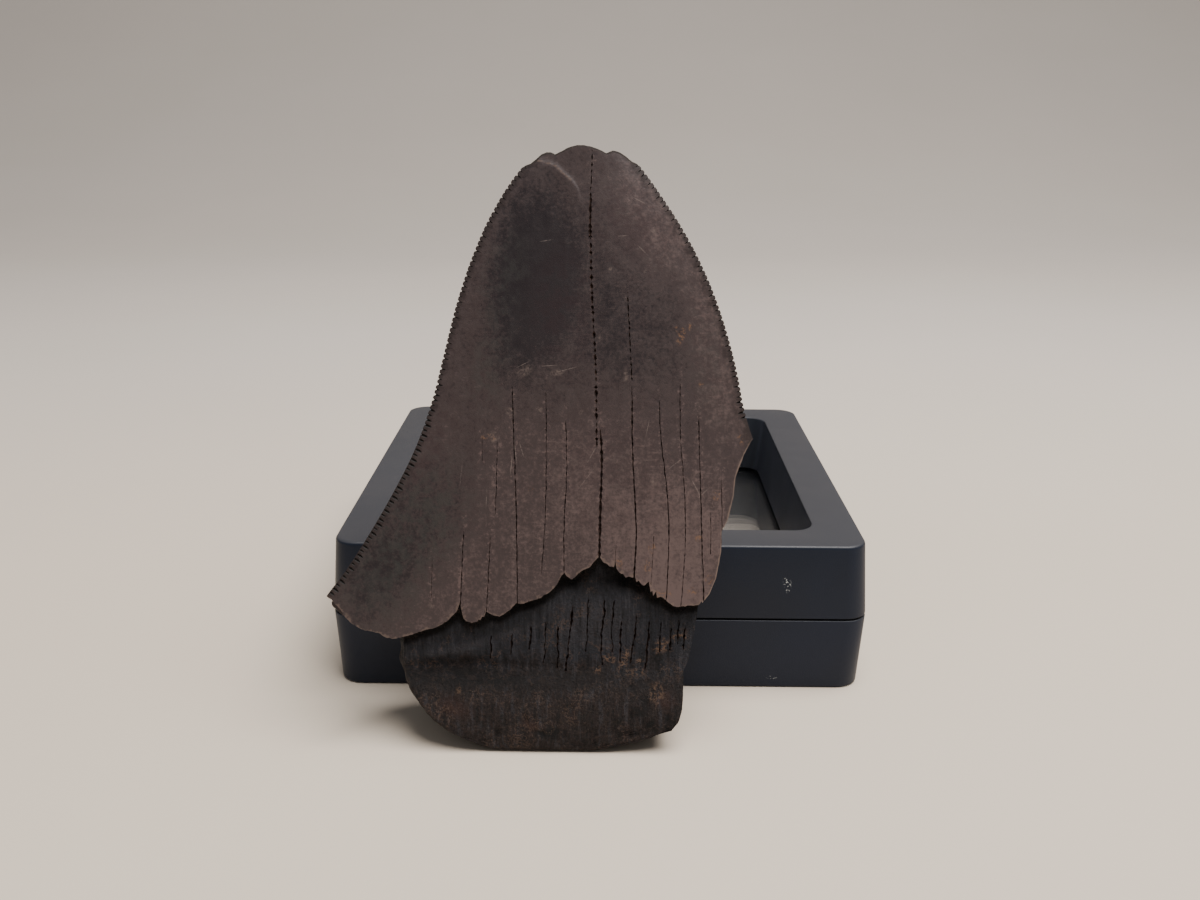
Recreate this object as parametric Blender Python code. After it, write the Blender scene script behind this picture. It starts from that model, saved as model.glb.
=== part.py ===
"""Megalodon tooth, root down, leaning back on the closed display case that serves as its stand.

The tooth is one solid: a serrated enamel crown over a broken root. The case is two square half
frames, one on the other, each with a clear film across its window. World frame: +X to the tooth's
right as it is faced, +Y away from its face, +Z up, with the origin under the middle of the whole.
"""

import bisect
import math

import bmesh
import bpy
import numpy as np
from mathutils import Vector

MM = 0.001
SHARP_ANGLE = math.radians(30.0)

# Case, millimetres
CASE_SEAM_WIDTH = 70.0
CASE_FACE_WIDTH = 68.9
CASE_HEIGHT = 20.0
CASE_CENTRE_Y = 8.4
CASE_CORNER_RADIUS = 3.0
CASE_RIM_ROUND = 0.4
CORNER_SEGMENTS = 5
RIM_SEGMENTS = 2
WINDOW_FACE_WIDTH = 56.8
WINDOW_FILM_WIDTH = 54.8
WINDOW_CORNER_RADIUS = 3.0
FILM_WIDTH = 61.4
FILM_THICKNESS = 0.3
FILM_CORNER_RADIUS = 3.0
PIECE_GAP = 0.3
HALF_HEIGHT = (CASE_HEIGHT - PIECE_GAP) / 2
FILM_BOTTOM = HALF_HEIGHT - PIECE_GAP - FILM_THICKNESS
CUTTER_MARGIN = 1.0

# Tooth placing: its face plane meets the table here and leans back from it
TOOTH_LEAN = math.radians(12.0)
TOOTH_FOOT_Y = CASE_CENTRE_Y - 51.0

# Tooth outlines, millimetres, as (height up the face, place across it)
LEFT_CUTTING_EDGE = (
    (10.0, -36.5), (18.4, -32.5), (21.0, -30.5), (25.8, -27.4), (31.0, -24.4), (36.0, -21.9),
    (41.3, -20.0), (47.1, -18.5), (53.0, -17.0), (58.4, -15.2), (63.7, -12.8), (68.3, -9.8),
    (72.0, -6.3), (76.0, -2.6),
)
RIGHT_CUTTING_EDGE = (
    (10.0, 33.5), (18.4, 29.4), (23.4, 25.7), (31.0, 21.1), (37.9, 17.7), (40.4, 16.9),
    (45.5, 15.8), (50.8, 14.3), (56.3, 12.2), (61.3, 9.6), (65.7, 6.7), (69.4, 3.9),
    (72.0, 1.6), (76.0, -1.6),
)
ROOT_LEFT = (
    (0.15, -12.5), (0.5, -14.2), (1.1, -15.8), (2.0, -17.9), (3.4, -20.0), (4.9, -21.5),
    (6.7, -22.8), (8.5, -23.8), (10.1, -24.5), (11.3, -24.3), (13.5, -24.9), (16.0, -27.2),
    (19.0, -28.6), (22.0, -27.0), (31.0, -21.6), (38.0, -18.2),
)
ROOT_RIGHT = (
    (0.15, -1.0), (0.6, 2.4), (1.3, 5.5), (2.2, 8.0), (3.5, 12.0), (5.0, 15.5), (9.0, 20.0),
    (13.5, 22.5), (19.0, 25.0), (22.0, 24.0), (31.0, 18.6), (38.0, 15.2),
)

# Depths behind the face plane, millimetres, as (height up the face, depth)
CROWN_THICKNESS = (
    (10.0, 12.9), (20.0, 12.2), (30.0, 11.2), (40.0, 10.0), (50.0, 8.4), (60.0, 6.3),
    (67.0, 4.7), (71.0, 3.8), (76.0, 2.6),
)
ROOT_FRONT = (
    (0.15, 0.4), (0.5, 0.1), (1.1, -0.1), (3.2, -0.4), (5.5, -0.45), (7.2, -0.2), (8.6, 0.25),
    (10.5, 0.8), (13.0, 1.0), (17.0, 0.85), (38.0, 0.7),
)
ROOT_COVERED_HEIGHTS = (14.0, 19.0)
ROOT_BACK = (
    (0.15, 0.7), (0.5, 2.1), (1.1, 4.6), (2.0, 7.6), (3.4, 10.2), (5.5, 12.1), (7.5, 12.8),
    (10.0, 13.1), (13.0, 13.1), (16.0, 12.7), (20.0, 12.0), (24.0, 11.4), (38.0, 9.8),
)
CROWN_BULGE = 0.9
CROWN_FULLNESS = 0.9
ENAMEL_THICKNESS = 0.55
ROOT_SIDE_ROUND = 1.3
ROOT_SIDE_THINNING = 0.42
LEDGE_GROOVE_HEIGHT = 9.7
LEDGE_GROOVE_HALF_HEIGHT = 1.2
LEDGE_GROOVE_DEPTH = 1.0
LEDGE_GROOVE_FADE = (-14.0, 0.0)
LEDGE_GROOVE_KEPT = 0.2
PEAK_HOLLOW_PLACE = (0.6, 21.3)
PEAK_HOLLOW_SIZE = (5.0, 1.9)
PEAK_HOLLOW_DEPTH = 1.1
TOOTH_AXIS_U = -1.5
ROOT_HALF_SPAN = 27.0
CROWN_HEIGHTS = (11.0, 75.5)
CROWN_ROW_COUNT = 30
ROOT_ROWS = (
    0.15, 0.5, 1.1, 2.0, 3.2, 4.8, 6.4, 7.6, 8.6, 9.6, 11.0, 13.0, 15.5, 18.0, 21.0, 24.5,
    28.0, 31.5, 35.0, 38.0,
)
CROWN_COLUMNS = 9
ROOT_COLUMNS = (
    -1.0, -0.985, -0.95, -0.88, -0.72, -0.48, -0.24, 0.0, 0.24, 0.48, 0.72, 0.88, 0.95, 0.985, 1.0,
)

# Lower edge of the enamel on the face and on the back, millimetres, as (across, up)
FACE_ENAMEL_EDGE = (
    (-38.0, 18.6), (-32.4, 18.4), (-31.9, 17.6), (-30.6, 16.2), (-28.7, 14.7), (-26.1, 14.1),
    (-24.2, 13.5), (-21.7, 14.5), (-19.4, 14.8), (-17.5, 16.0), (-16.5, 17.6), (-16.2, 16.4),
    (-15.1, 15.8), (-14.1, 15.8), (-13.5, 16.7), (-12.0, 16.4), (-10.4, 17.5), (-8.6, 18.0),
    (-6.3, 19.0), (-5.1, 20.0), (-4.3, 21.5), (-3.0, 21.1), (-1.1, 22.4), (-0.1, 23.5),
    (1.5, 22.6), (2.4, 21.3), (3.9, 21.2), (5.7, 20.4), (6.5, 19.0), (8.5, 17.9), (10.3, 17.9),
    (12.1, 18.3), (30.0, 19.5), (38.0, 18.0),
)
BACK_ENAMEL_EDGE = (
    (-38.0, 18.9), (-32.4, 18.7), (-31.6, 17.8), (-30.4, 16.6), (-28.6, 15.6), (-26.5, 16.5),
    (-22.0, 19.5), (-15.0, 24.8), (-8.5, 30.2), (-4.0, 33.0), (-1.5, 33.6), (1.0, 33.0),
    (6.0, 29.6), (12.0, 24.8), (20.0, 19.5), (30.0, 18.0), (38.0, 18.0),
)
ENAMEL_SPLIT_DEPTH = 1.0
ENAMEL_SPLIT_OVERLAP = 0.2
DEEPEST = 25.0
NEAREST = -5.0
LOWEST = -3.0

# Break down the right side and across the tip, millimetres, as (across, up)
SIDE_BREAK = (
    (20.0, 38.6), (17.7, 37.5), (16.8, 35.8), (15.8, 33.1), (15.6, 30.8), (15.0, 28.1),
    (14.3, 26.8), (14.3, 24.7), (13.7, 21.1), (12.9, 19.2), (11.8, 17.8), (11.3, 14.1),
    (10.8, 11.5), (10.1, 9.9), (10.0, 7.5), (9.9, 5.4), (9.4, 3.8), (8.0, 2.0),
)
SIDE_BREAK_DEPTHS = (-5.0, 0.0, 2.2, 4.6, 7.0, 9.4, 11.8, 18.0)
SIDE_BREAK_SLANT = 0.12
SIDE_BREAK_ROUGHNESS = 0.4
SIDE_BREAK_SMOOTH_DEPTH = 2.5
SIDE_BREAK_FOOT = 8.0
CLEAR_OF_TOOTH_RIGHT = 45.0
TIP_BREAK = (
    (-11.0, 68.6), (-8.4, 69.3), (-7.8, 69.8), (-7.2, 70.35), (-6.6, 70.6), (-6.1, 70.55), (-5.6, 70.3),
    (-5.0, 70.6), (-4.3, 70.95), (-3.7, 71.2), (-3.0, 71.35), (-2.3, 71.35), (-1.6, 71.2), (-0.9, 71.0),
    (-0.2, 70.75), (0.3, 70.45), (0.7, 70.65), (1.0, 70.8), (1.5, 70.75), (1.9, 70.6), (2.6, 70.15),
    (3.3, 69.6), (6.0, 68.6),
)
TIP_BREAK_DEPTHS = ((-5.0, 0.25), (0.0, 0.0), (2.0, -0.35), (4.0, -1.1), (8.0, -2.4))
CLEAR_OF_TIP = ((12.0, 80.0), (-16.0, 80.0))
TIP_CHIP_CENTRE = (-3.0, -1.85, 71.0)
TIP_CHIP_RADII = (5.2, 1.45, 4.6)

# Serrations of the two cutting edges, millimetres
SERRATION_PITCH = 0.62
SERRATION_DEPTH = 0.22
SERRATION_HALF_WIDTH = 0.2
SERRATION_HALF_LENGTH = 0.9
LEFT_SERRATED_HEIGHTS = (19.0, 69.4)
RIGHT_SERRATED_HEIGHTS = (40.2, 69.2)
EDGE_SAMPLES = 800
DIRECTION_STEP = 0.1

# Drying cracks that show on the face, millimetres, each from top to bottom as (across, up)
CRACK_DEPTH = 0.5
CRACK_HALF_WIDTH = 0.16
CRACK_CLEARANCE = 0.6
CRACKS = (
    ((-1.5, 67.0), (-1.4, 59.8), (-1.2, 54.0), (-0.7, 45.4), (-0.5, 36.6)),
    ((-0.2, 40.3), (0.1, 34.3), (0.0, 30.6), (-0.1, 23.0)),
    ((2.8, 56.3), (3.1, 51.1), (3.5, 45.5), (3.7, 35.9), (4.1, 27.1), (4.0, 20.6)),
    ((6.7, 43.4), (7.0, 37.5), (7.8, 30.1), (8.0, 22.5), (7.8, 17.6)),
    ((9.1, 46.3), (9.3, 37.5), (9.9, 30.1), (10.0, 26.3), (9.7, 21.4)),
    ((11.5, 42.2), (11.4, 38.9), (11.7, 32.3), (12.0, 27.1), (12.2, 17.8)),
    ((-4.2, 41.5), (-4.0, 33.6), (-4.3, 26.3), (-4.2, 20.9)),
    ((-6.5, 44.8), (-6.4, 35.8), (-6.5, 27.7), (-6.9, 22.6)),
    ((-10.5, 45.4), (-10.2, 37.3), (-9.9, 29.1), (-9.7, 17.4)),
    ((-12.1, 38.7), (-12.2, 30.0), (-12.8, 26.8), (-13.1, 22.5), (-13.4, 16.2)),
    ((-16.0, 28.4), (-16.2, 23.9), (-16.4, 16.8)),
)
ROOT_FISSURES = (
    ((-8.2, 17.2), (-8.5, 10.4)),
    ((-4.7, 18.6), (-5.3, 11.0)),
    ((-1.4, 20.2), (-1.2, 12.6)),
    ((1.8, 18.8), (1.4, 10.6)),
    ((4.6, 17.6), (4.2, 9.8)),
    ((7.4, 16.0), (7.1, 10.2)),
)


def curve_value(points, at):
    """Value at one place on the smooth curve through (place, value) points."""
    places, values = zip(*points)
    slopes = np.gradient(values, places)
    at = min(max(at, places[0]), places[-1])
    left = min(bisect.bisect_right(places, at) - 1, len(places) - 2)
    span = places[left + 1] - places[left]
    s = (at - places[left]) / span
    start = (1 + 2 * s) * (1 - s) ** 2 * values[left] + s * (1 - s) ** 2 * span * slopes[left]
    end = s * s * (3 - 2 * s) * values[left + 1] + s * s * (s - 1) * span * slopes[left + 1]
    return start + end


def share_between(value, ends):
    """How far a value has come from the first end to the second, from 0 to 1."""
    return min(1.0, max(0.0, (value - ends[0]) / (ends[1] - ends[0])))


def crown_span(height):
    """Middle and half width of the unbroken crown at a height."""
    left = curve_value(LEFT_CUTTING_EDGE, height)
    right = curve_value(RIGHT_CUTTING_EDGE, height)
    return (left + right) / 2, (right - left) / 2


def crown_roundness(across, height):
    """1 on the crown's middle line, 0 on its cutting edges."""
    middle, half = crown_span(height)
    return max(0.0, 1.0 - ((across - middle) / half) ** 2)


def crown_front(across, height):
    return -CROWN_BULGE * crown_roundness(across, height)


def crown_back(across, height):
    thickness = curve_value(CROWN_THICKNESS, height)
    return thickness * crown_roundness(across, height) ** CROWN_FULLNESS


def ledge_groove(across, height):
    """Hollow that runs along the neck above the ledge and fades to the tooth's right."""
    faded = share_between(across, LEDGE_GROOVE_FADE)
    rise = (height - LEDGE_GROOVE_HEIGHT) / LEDGE_GROOVE_HALF_HEIGHT
    return LEDGE_GROOVE_DEPTH * (1.0 - (1.0 - LEDGE_GROOVE_KEPT) * faded) * math.exp(-(rise**2))


def peak_hollow(across, height):
    """Cavity in the root under the peak of the enamel edge."""
    sideways = (across - PEAK_HOLLOW_PLACE[0]) / PEAK_HOLLOW_SIZE[0]
    upwards = (height - PEAK_HOLLOW_PLACE[1]) / PEAK_HOLLOW_SIZE[1]
    return PEAK_HOLLOW_DEPTH * math.exp(-(sideways**2) - upwards**2)


def root_front(across, height):
    """Neck, ledge and foot of the root, set back under the enamel higher up."""
    set_back = curve_value(ROOT_FRONT, height) + ledge_groove(across, height)
    return crown_front(across, height) + set_back + peak_hollow(across, height)


def root_back(across, height):
    """Bulge behind the root, kept under the enamel where the crown covers it."""
    side = min(1.0, abs(across - TOOTH_AXIS_U) / ROOT_HALF_SPAN)
    bulge = curve_value(ROOT_BACK, height) * (1.0 - ROOT_SIDE_THINNING * side**2)
    under_enamel = crown_back(across, height) - ENAMEL_THICKNESS
    covered = share_between(height, ROOT_COVERED_HEIGHTS)
    return bulge + (min(bulge, under_enamel) - bulge) * covered


def world_collection(name, hidden):
    collection = bpy.data.collections.new(name)
    bpy.context.scene.collection.children.link(collection)
    collection.hide_render = hidden
    return collection


def clear_scene():
    for old in list(bpy.data.objects):
        bpy.data.objects.remove(old, do_unlink=True)


def make_material(name, colour, roughness, alpha=1.0, transmission=0.0):
    material = bpy.data.materials.new(name)
    material.use_nodes = True
    shader = material.node_tree.nodes["Principled BSDF"]
    shader.inputs["Base Color"].default_value = (*colour, 1.0)
    shader.inputs["Roughness"].default_value = roughness
    shader.inputs["Metallic"].default_value = 0.0
    shader.inputs["Alpha"].default_value = alpha
    shader.inputs["Transmission Weight"].default_value = transmission
    return material


def finish_mesh(name, mesh_data, collection, material=None):
    """Object from a bmesh in millimetres, with its faces pointing out."""
    bmesh.ops.recalc_face_normals(mesh_data, faces=mesh_data.faces)
    bmesh.ops.scale(mesh_data, vec=(MM, MM, MM), verts=mesh_data.verts)
    mesh = bpy.data.meshes.new(name)
    mesh_data.to_mesh(mesh)
    mesh_data.free()
    made = bpy.data.objects.new(name, mesh)
    collection.objects.link(made)
    if material:
        mesh.materials.append(material)
        mesh.shade_smooth()
        mesh.set_sharp_from_angle(angle=SHARP_ANGLE)
    if collection.hide_render:
        made.hide_render = True
        made.display_type = "WIRE"
    return made


def cut(target, cutter, operation="DIFFERENCE", solver="MANIFOLD"):
    """Boolean step. EXACT loses whole faces of the tooth's thin blade, so it serves the case only."""
    boolean = target.modifiers.new(cutter.name, "BOOLEAN")
    boolean.operation = operation
    boolean.solver = solver
    boolean.object = cutter


def tapered_block(low_width, high_width, bottom, top, corner_radius):
    """Square block whose width changes with height, with its upright edges rounded."""
    block = bmesh.new()
    bmesh.ops.create_cube(block, size=1.0)
    for vert in block.verts:
        width = high_width if vert.co.z > 0 else low_width
        vert.co = Vector((vert.co.x * width, vert.co.y * width, top if vert.co.z > 0 else bottom))
    upright = [e for e in block.edges if e.verts[0].co.z != e.verts[1].co.z]
    bmesh.ops.bevel(
        block, geom=upright, offset=corner_radius, offset_type="OFFSET",
        segments=CORNER_SEGMENTS, profile=0.5, affect="EDGES",
    )
    return block


def add_loft(mesh_data, rings):
    """Skin over closed rings of equal count, with a flat cap at each end."""
    rows = [[mesh_data.verts.new(point) for point in ring] for ring in rings]
    count = len(rows[0])
    for low, high in zip(rows, rows[1:]):
        for i in range(count):
            j = (i + 1) % count
            mesh_data.faces.new((low[i], low[j], high[j], high[i]))
    mesh_data.faces.new(rows[0][::-1])
    mesh_data.faces.new(rows[-1])


def loft(name, rings, collection, material=None):
    mesh_data = bmesh.new()
    add_loft(mesh_data, rings)
    bmesh.ops.triangulate(mesh_data, faces=mesh_data.faces)
    return finish_mesh(name, mesh_data, collection, material)


def widths_at(face_width, seam_width, bottom, top):
    """The two widths of a straight taper carried on to other heights of a case half."""
    per_mm = (seam_width - face_width) / HALF_HEIGHT
    return face_width + per_mm * bottom, face_width + per_mm * top


def make_case_half(name, parts, cutters, material):
    """One half frame, outer face down: drafted outside, window through it, recess for the film."""
    low, high = widths_at(CASE_FACE_WIDTH, CASE_SEAM_WIDTH, 0.0, HALF_HEIGHT)
    block = tapered_block(low, high, 0.0, HALF_HEIGHT, CASE_CORNER_RADIUS)
    rim = [e for e in block.edges if max(e.verts[0].co.z, e.verts[1].co.z) < 1e-6]
    bmesh.ops.bevel(
        block, geom=rim, offset=CASE_RIM_ROUND, offset_type="OFFSET",
        segments=RIM_SEGMENTS, profile=0.5, affect="EDGES",
    )
    half = finish_mesh(name, block, parts, material)
    bottom, top = -CUTTER_MARGIN, HALF_HEIGHT + CUTTER_MARGIN
    low, high = widths_at(WINDOW_FACE_WIDTH, WINDOW_FILM_WIDTH, bottom, top)
    window = tapered_block(low, high, bottom, top, WINDOW_CORNER_RADIUS)
    recess_width = FILM_WIDTH + 2 * PIECE_GAP
    recess_bottom = FILM_BOTTOM - PIECE_GAP
    recess_radius = FILM_CORNER_RADIUS + PIECE_GAP
    recess = tapered_block(recess_width, recess_width, recess_bottom, top, recess_radius)
    cut(half, finish_mesh(name + "_window_cutter", window, cutters), solver="EXACT")
    cut(half, finish_mesh(name + "_recess_cutter", recess, cutters), solver="EXACT")
    return half


def make_film(name, parts, material):
    sheet = tapered_block(
        FILM_WIDTH, FILM_WIDTH, FILM_BOTTOM, FILM_BOTTOM + FILM_THICKNESS, FILM_CORNER_RADIUS
    )
    return finish_mesh(name, sheet, parts, material)


def place_in_case(piece, is_lid):
    """Stand a case piece on the table, or turn it over on top of the base."""
    piece.location = (0.0, CASE_CENTRE_Y * MM, CASE_HEIGHT * MM if is_lid else 0.0)
    piece.rotation_euler.x = math.pi if is_lid else 0.0


def section_ring(height, places, front, back, columns):
    """Closed ring round a crosswise section, from left to right in front and back again behind."""
    near = [(u, front(u, height), height) for u in places]
    far = [(u, back(u, height), height) for u in places]
    return near + far[::-1][columns]


def crown_ring(height):
    """Lens-shaped section that runs to a sharp cutting edge on each side."""
    middle, half = crown_span(height)
    angles = np.linspace(-math.pi / 2, math.pi / 2, CROWN_COLUMNS)
    places = [middle + half * math.sin(angle) for angle in angles]
    return section_ring(height, places, crown_front, crown_back, slice(1, -1))


def root_ring(height):
    """Section of the root, rounded where its front and back meet at the sides."""
    left, right = curve_value(ROOT_LEFT, height), curve_value(ROOT_RIGHT, height)
    half = (right - left) / 2
    ring = []
    for side, depth in (("front", root_front), ("back", root_back)):
        columns = ROOT_COLUMNS if side == "front" else ROOT_COLUMNS[-2:0:-1]
        for column in columns:
            across = (left + right) / 2 + half * column
            in_from_side = min(1.0, half * (1.0 - abs(column)) / ROOT_SIDE_ROUND)
            fullness = math.sqrt(1.0 - (1.0 - in_from_side) ** 2)
            middle = (root_front(across, height) + root_back(across, height)) / 2
            ring.append((across, middle + (depth(across, height) - middle) * fullness, height))
    return ring


def below_edge_prism(name, edge, near, far, cutters):
    """Block of everything under an enamel edge, between two depths."""
    outline = [*edge, (edge[-1][0], LOWEST), (edge[0][0], LOWEST)]
    rings = [[(across, depth, up) for across, up in outline] for depth in (near, far)]
    return loft(name, rings, cutters)


def make_side_break(cutters):
    """The lost right side: a rough face that slants in towards the back of the tooth."""
    rings = []
    for depth in SIDE_BREAK_DEPTHS:
        roughness = SIDE_BREAK_ROUGHNESS * share_between(depth, (0.0, SIDE_BREAK_SMOOTH_DEPTH))
        ring = []
        for across, up in SIDE_BREAK:
            wander = math.sin(0.55 * up + 0.5 * depth) + 0.5 * math.sin(1.7 * up - 0.9 * depth)
            inward = SIDE_BREAK_SLANT * max(0.0, depth) + roughness * (wander + 1.0)
            ring.append((across - inward, depth, up))
        ring += [
            (SIDE_BREAK_FOOT - inward, depth, LOWEST),
            (CLEAR_OF_TOOTH_RIGHT, depth, LOWEST),
            (CLEAR_OF_TOOTH_RIGHT, depth, SIDE_BREAK[0][1]),
        ]
        rings.append(ring)
    return loft("side_break_cutter", rings, cutters)


def make_tip_break(cutters):
    rings = []
    for depth, drop in TIP_BREAK_DEPTHS:
        edge = [(across, depth, up + drop) for across, up in TIP_BREAK]
        rings.append(edge + [(across, depth, up) for across, up in CLEAR_OF_TIP])
    return loft("tip_break_cutter", rings, cutters)


def make_tip_chip(cutters):
    """Shallow dish where a flake of enamel left the face beside the tip."""
    dish = bmesh.new()
    bmesh.ops.create_uvsphere(dish, u_segments=20, v_segments=12, radius=1.0)
    bmesh.ops.scale(dish, vec=TIP_CHIP_RADII, verts=dish.verts)
    bmesh.ops.translate(dish, vec=TIP_CHIP_CENTRE, verts=dish.verts)
    bmesh.ops.triangulate(dish, faces=dish.faces)
    return finish_mesh("tip_chip_cutter", dish, cutters)


def serration_places(edge, heights):
    """Places one pitch apart along a cutting edge, each with the edge's direction there."""
    steps = np.linspace(*heights, EDGE_SAMPLES)
    line = np.array([(curve_value(edge, height), height) for height in steps])
    along = np.concatenate([[0.0], np.cumsum(np.linalg.norm(np.diff(line, axis=0), axis=1))])
    for distance in np.arange(0.0, along[-1], SERRATION_PITCH):
        here = np.array([np.interp(distance, along, line[:, axis]) for axis in (0, 1)])
        further = distance + DIRECTION_STEP
        ahead = np.array([np.interp(further, along, line[:, axis]) for axis in (0, 1)])
        direction = ahead - here
        yield here, direction / np.linalg.norm(direction)


def make_serrations(cutters):
    """One small wedge for each notch along both cutting edges."""
    wedges = bmesh.new()
    sides = (
        (LEFT_CUTTING_EDGE, LEFT_SERRATED_HEIGHTS, 1.0),
        (RIGHT_CUTTING_EDGE, RIGHT_SERRATED_HEIGHTS, -1.0),
    )
    for edge, heights, turn in sides:
        for here, direction in serration_places(edge, heights):
            inward = np.array([direction[1], -direction[0]]) * turn
            mouth = here - inward * SERRATION_DEPTH
            corners = (
                mouth - direction * 2 * SERRATION_HALF_WIDTH,
                mouth + direction * 2 * SERRATION_HALF_WIDTH,
                here + inward * SERRATION_DEPTH,
            )
            depths = (-SERRATION_HALF_LENGTH, SERRATION_HALF_LENGTH)
            add_loft(wedges, [[(u, depth, w) for u, w in corners] for depth in depths])
    bmesh.ops.triangulate(wedges, faces=wedges.faces)
    return finish_mesh("serration_cutter", wedges, cutters)


def make_cracks(name, cracks, surface, cutters):
    """One narrow V-shaped blade along each crack, following the surface that it opens."""
    blades = bmesh.new()
    mouth = CRACK_HALF_WIDTH * (CRACK_CLEARANCE + CRACK_DEPTH) / CRACK_DEPTH
    for crack in cracks:
        rings = []
        for across, up in crack:
            face = surface(across, up)
            rings.append([
                (across - mouth, face - CRACK_CLEARANCE, up),
                (across + mouth, face - CRACK_CLEARANCE, up),
                (across, face + CRACK_DEPTH, up),
            ])
        add_loft(blades, rings)
    bmesh.ops.triangulate(blades, faces=blades.faces)
    return finish_mesh(name, blades, cutters)


def make_tooth(parts, cutters, material):
    crown_rows = np.linspace(*CROWN_HEIGHTS, CROWN_ROW_COUNT)
    crown = loft("enamel_crown_form", [crown_ring(height) for height in crown_rows], cutters)
    back_start = ENAMEL_SPLIT_DEPTH - ENAMEL_SPLIT_OVERLAP
    face_edge = below_edge_prism(
        "face_edge_cutter", FACE_ENAMEL_EDGE, NEAREST, ENAMEL_SPLIT_DEPTH, cutters
    )
    back_edge = below_edge_prism(
        "back_edge_cutter", BACK_ENAMEL_EDGE, back_start, DEEPEST, cutters
    )
    cut(crown, face_edge)
    cut(crown, back_edge)
    tooth = loft("tooth", [root_ring(height) for height in ROOT_ROWS], parts, material)
    cut(tooth, crown, "UNION")
    cut(tooth, make_side_break(cutters))
    cut(tooth, make_tip_break(cutters))
    cut(tooth, make_tip_chip(cutters))
    cut(tooth, make_serrations(cutters))
    cut(tooth, make_cracks("crown_crack_cutter", CRACKS, crown_front, cutters))
    cut(tooth, make_cracks("root_fissure_cutter", ROOT_FISSURES, root_front, cutters))
    return tooth


def lean_tooth(tooth, cutters):
    """Tilt the tooth and its cutters back onto the case together."""
    holder = bpy.data.objects.new("tooth_placing", None)
    cutters.objects.link(holder)
    holder.location = (0.0, TOOTH_FOOT_Y * MM, 0.0)
    holder.rotation_euler.x = -TOOTH_LEAN
    tooth.parent = holder
    for helper in {modifier.object for modifier in tooth.modifiers}:
        helper.parent = holder
        for modifier in helper.modifiers:
            modifier.object.parent = holder


def main():
    clear_scene()
    parts = world_collection("megalodon_tooth_on_case", hidden=False)
    cutters = world_collection("cutters", hidden=True)
    tooth_material = make_material("fossil_enamel_and_root", (0.075, 0.055, 0.05), 0.5)
    case_material = make_material("black_plastic", (0.018, 0.019, 0.022), 0.42)
    film_material = make_material("clear_film", (0.9, 0.92, 0.93), 0.08, transmission=1.0)
    for name, is_lid in (("base", False), ("lid", True)):
        place_in_case(make_case_half("case_" + name, parts, cutters, case_material), is_lid)
        place_in_case(make_film(name + "_film", parts, film_material), is_lid)
        for cutter_name in ("_window_cutter", "_recess_cutter"):
            place_in_case(bpy.data.objects["case_" + name + cutter_name], is_lid)
    lean_tooth(make_tooth(parts, cutters, tooth_material), cutters)


main()
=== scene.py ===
"""Looks of the megalodon tooth that leans on its closed display case.

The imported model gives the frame, and each piece here stands where its node stands. Lengths are in
millimetres. The tooth is modelled in axes of its own: across its face, depth behind the face
plane, and height up the face.
"""

import math

import bmesh
import bpy
import numpy as np
from mathutils import Matrix, Vector, noise


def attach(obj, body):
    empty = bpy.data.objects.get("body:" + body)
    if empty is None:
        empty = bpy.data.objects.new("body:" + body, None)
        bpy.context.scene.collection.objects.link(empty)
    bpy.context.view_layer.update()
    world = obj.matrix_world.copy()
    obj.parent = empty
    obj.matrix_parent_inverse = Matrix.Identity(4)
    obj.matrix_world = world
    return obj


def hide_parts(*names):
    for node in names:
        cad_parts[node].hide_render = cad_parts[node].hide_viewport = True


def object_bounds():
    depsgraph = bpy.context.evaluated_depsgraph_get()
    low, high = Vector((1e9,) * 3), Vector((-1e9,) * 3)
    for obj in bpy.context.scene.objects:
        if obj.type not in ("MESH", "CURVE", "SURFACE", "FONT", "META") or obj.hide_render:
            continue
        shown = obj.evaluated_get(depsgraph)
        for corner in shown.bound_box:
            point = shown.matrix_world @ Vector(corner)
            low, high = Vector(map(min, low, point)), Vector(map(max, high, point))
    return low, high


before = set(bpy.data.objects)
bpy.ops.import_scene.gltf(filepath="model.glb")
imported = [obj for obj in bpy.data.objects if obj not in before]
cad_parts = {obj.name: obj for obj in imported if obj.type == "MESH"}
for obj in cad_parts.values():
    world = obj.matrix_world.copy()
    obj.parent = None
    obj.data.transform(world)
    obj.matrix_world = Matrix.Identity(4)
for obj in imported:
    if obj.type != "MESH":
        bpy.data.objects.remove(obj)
cad_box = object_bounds()

MM = 0.001
TINY = 1e-9

# Case and its films
CASE_SEAM_WIDTH = 70.0
CASE_FACE_WIDTH = 68.9
CASE_HEIGHT = 20.0
CASE_CENTRE_Y = 8.4
CASE_CORNER_RADIUS = 3.0
WINDOW_FACE_WIDTH = 56.8
WINDOW_FILM_WIDTH = 54.8
WINDOW_CORNER_RADIUS = 3.0
FILM_WIDTH = 61.4
FILM_THICKNESS = 0.3
FILM_CORNER_RADIUS = 3.0
PIECE_GAP = 0.3
HALF_HEIGHT = (CASE_HEIGHT - PIECE_GAP) / 2
FILM_BOTTOM = HALF_HEIGHT - PIECE_GAP - FILM_THICKNESS
RECESS_WIDTH = FILM_WIDTH + 2 * PIECE_GAP
RECESS_BOTTOM = FILM_BOTTOM - PIECE_GAP
RECESS_CORNER_RADIUS = FILM_CORNER_RADIUS + PIECE_GAP
RIM_ROUND = 0.45
WINDOW_EDGE_ROUND = 0.22
SEAM_EDGE_ROUND = 0.12
FILM_BULGE = 0.45
FILM_RIPPLE = (0.10, (0.09, 0.16, 0.0), 3.0)
FILM_MIDDLE_HALF_WIDTH = 0.6
FILM_CORNER_SHARE = 0.9
FILM_RING_COUNT = 34
FILM_RING_POINTS = {"per_corner": 5, "per_side": 18}
CASE_SHARP_ANGLE = 50.0

# Tooth placing: its face plane meets the table here and leans back from it
TOOTH_LEAN = math.radians(12.0)
TOOTH_FOOT_Y = CASE_CENTRE_Y - 51.0

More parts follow.
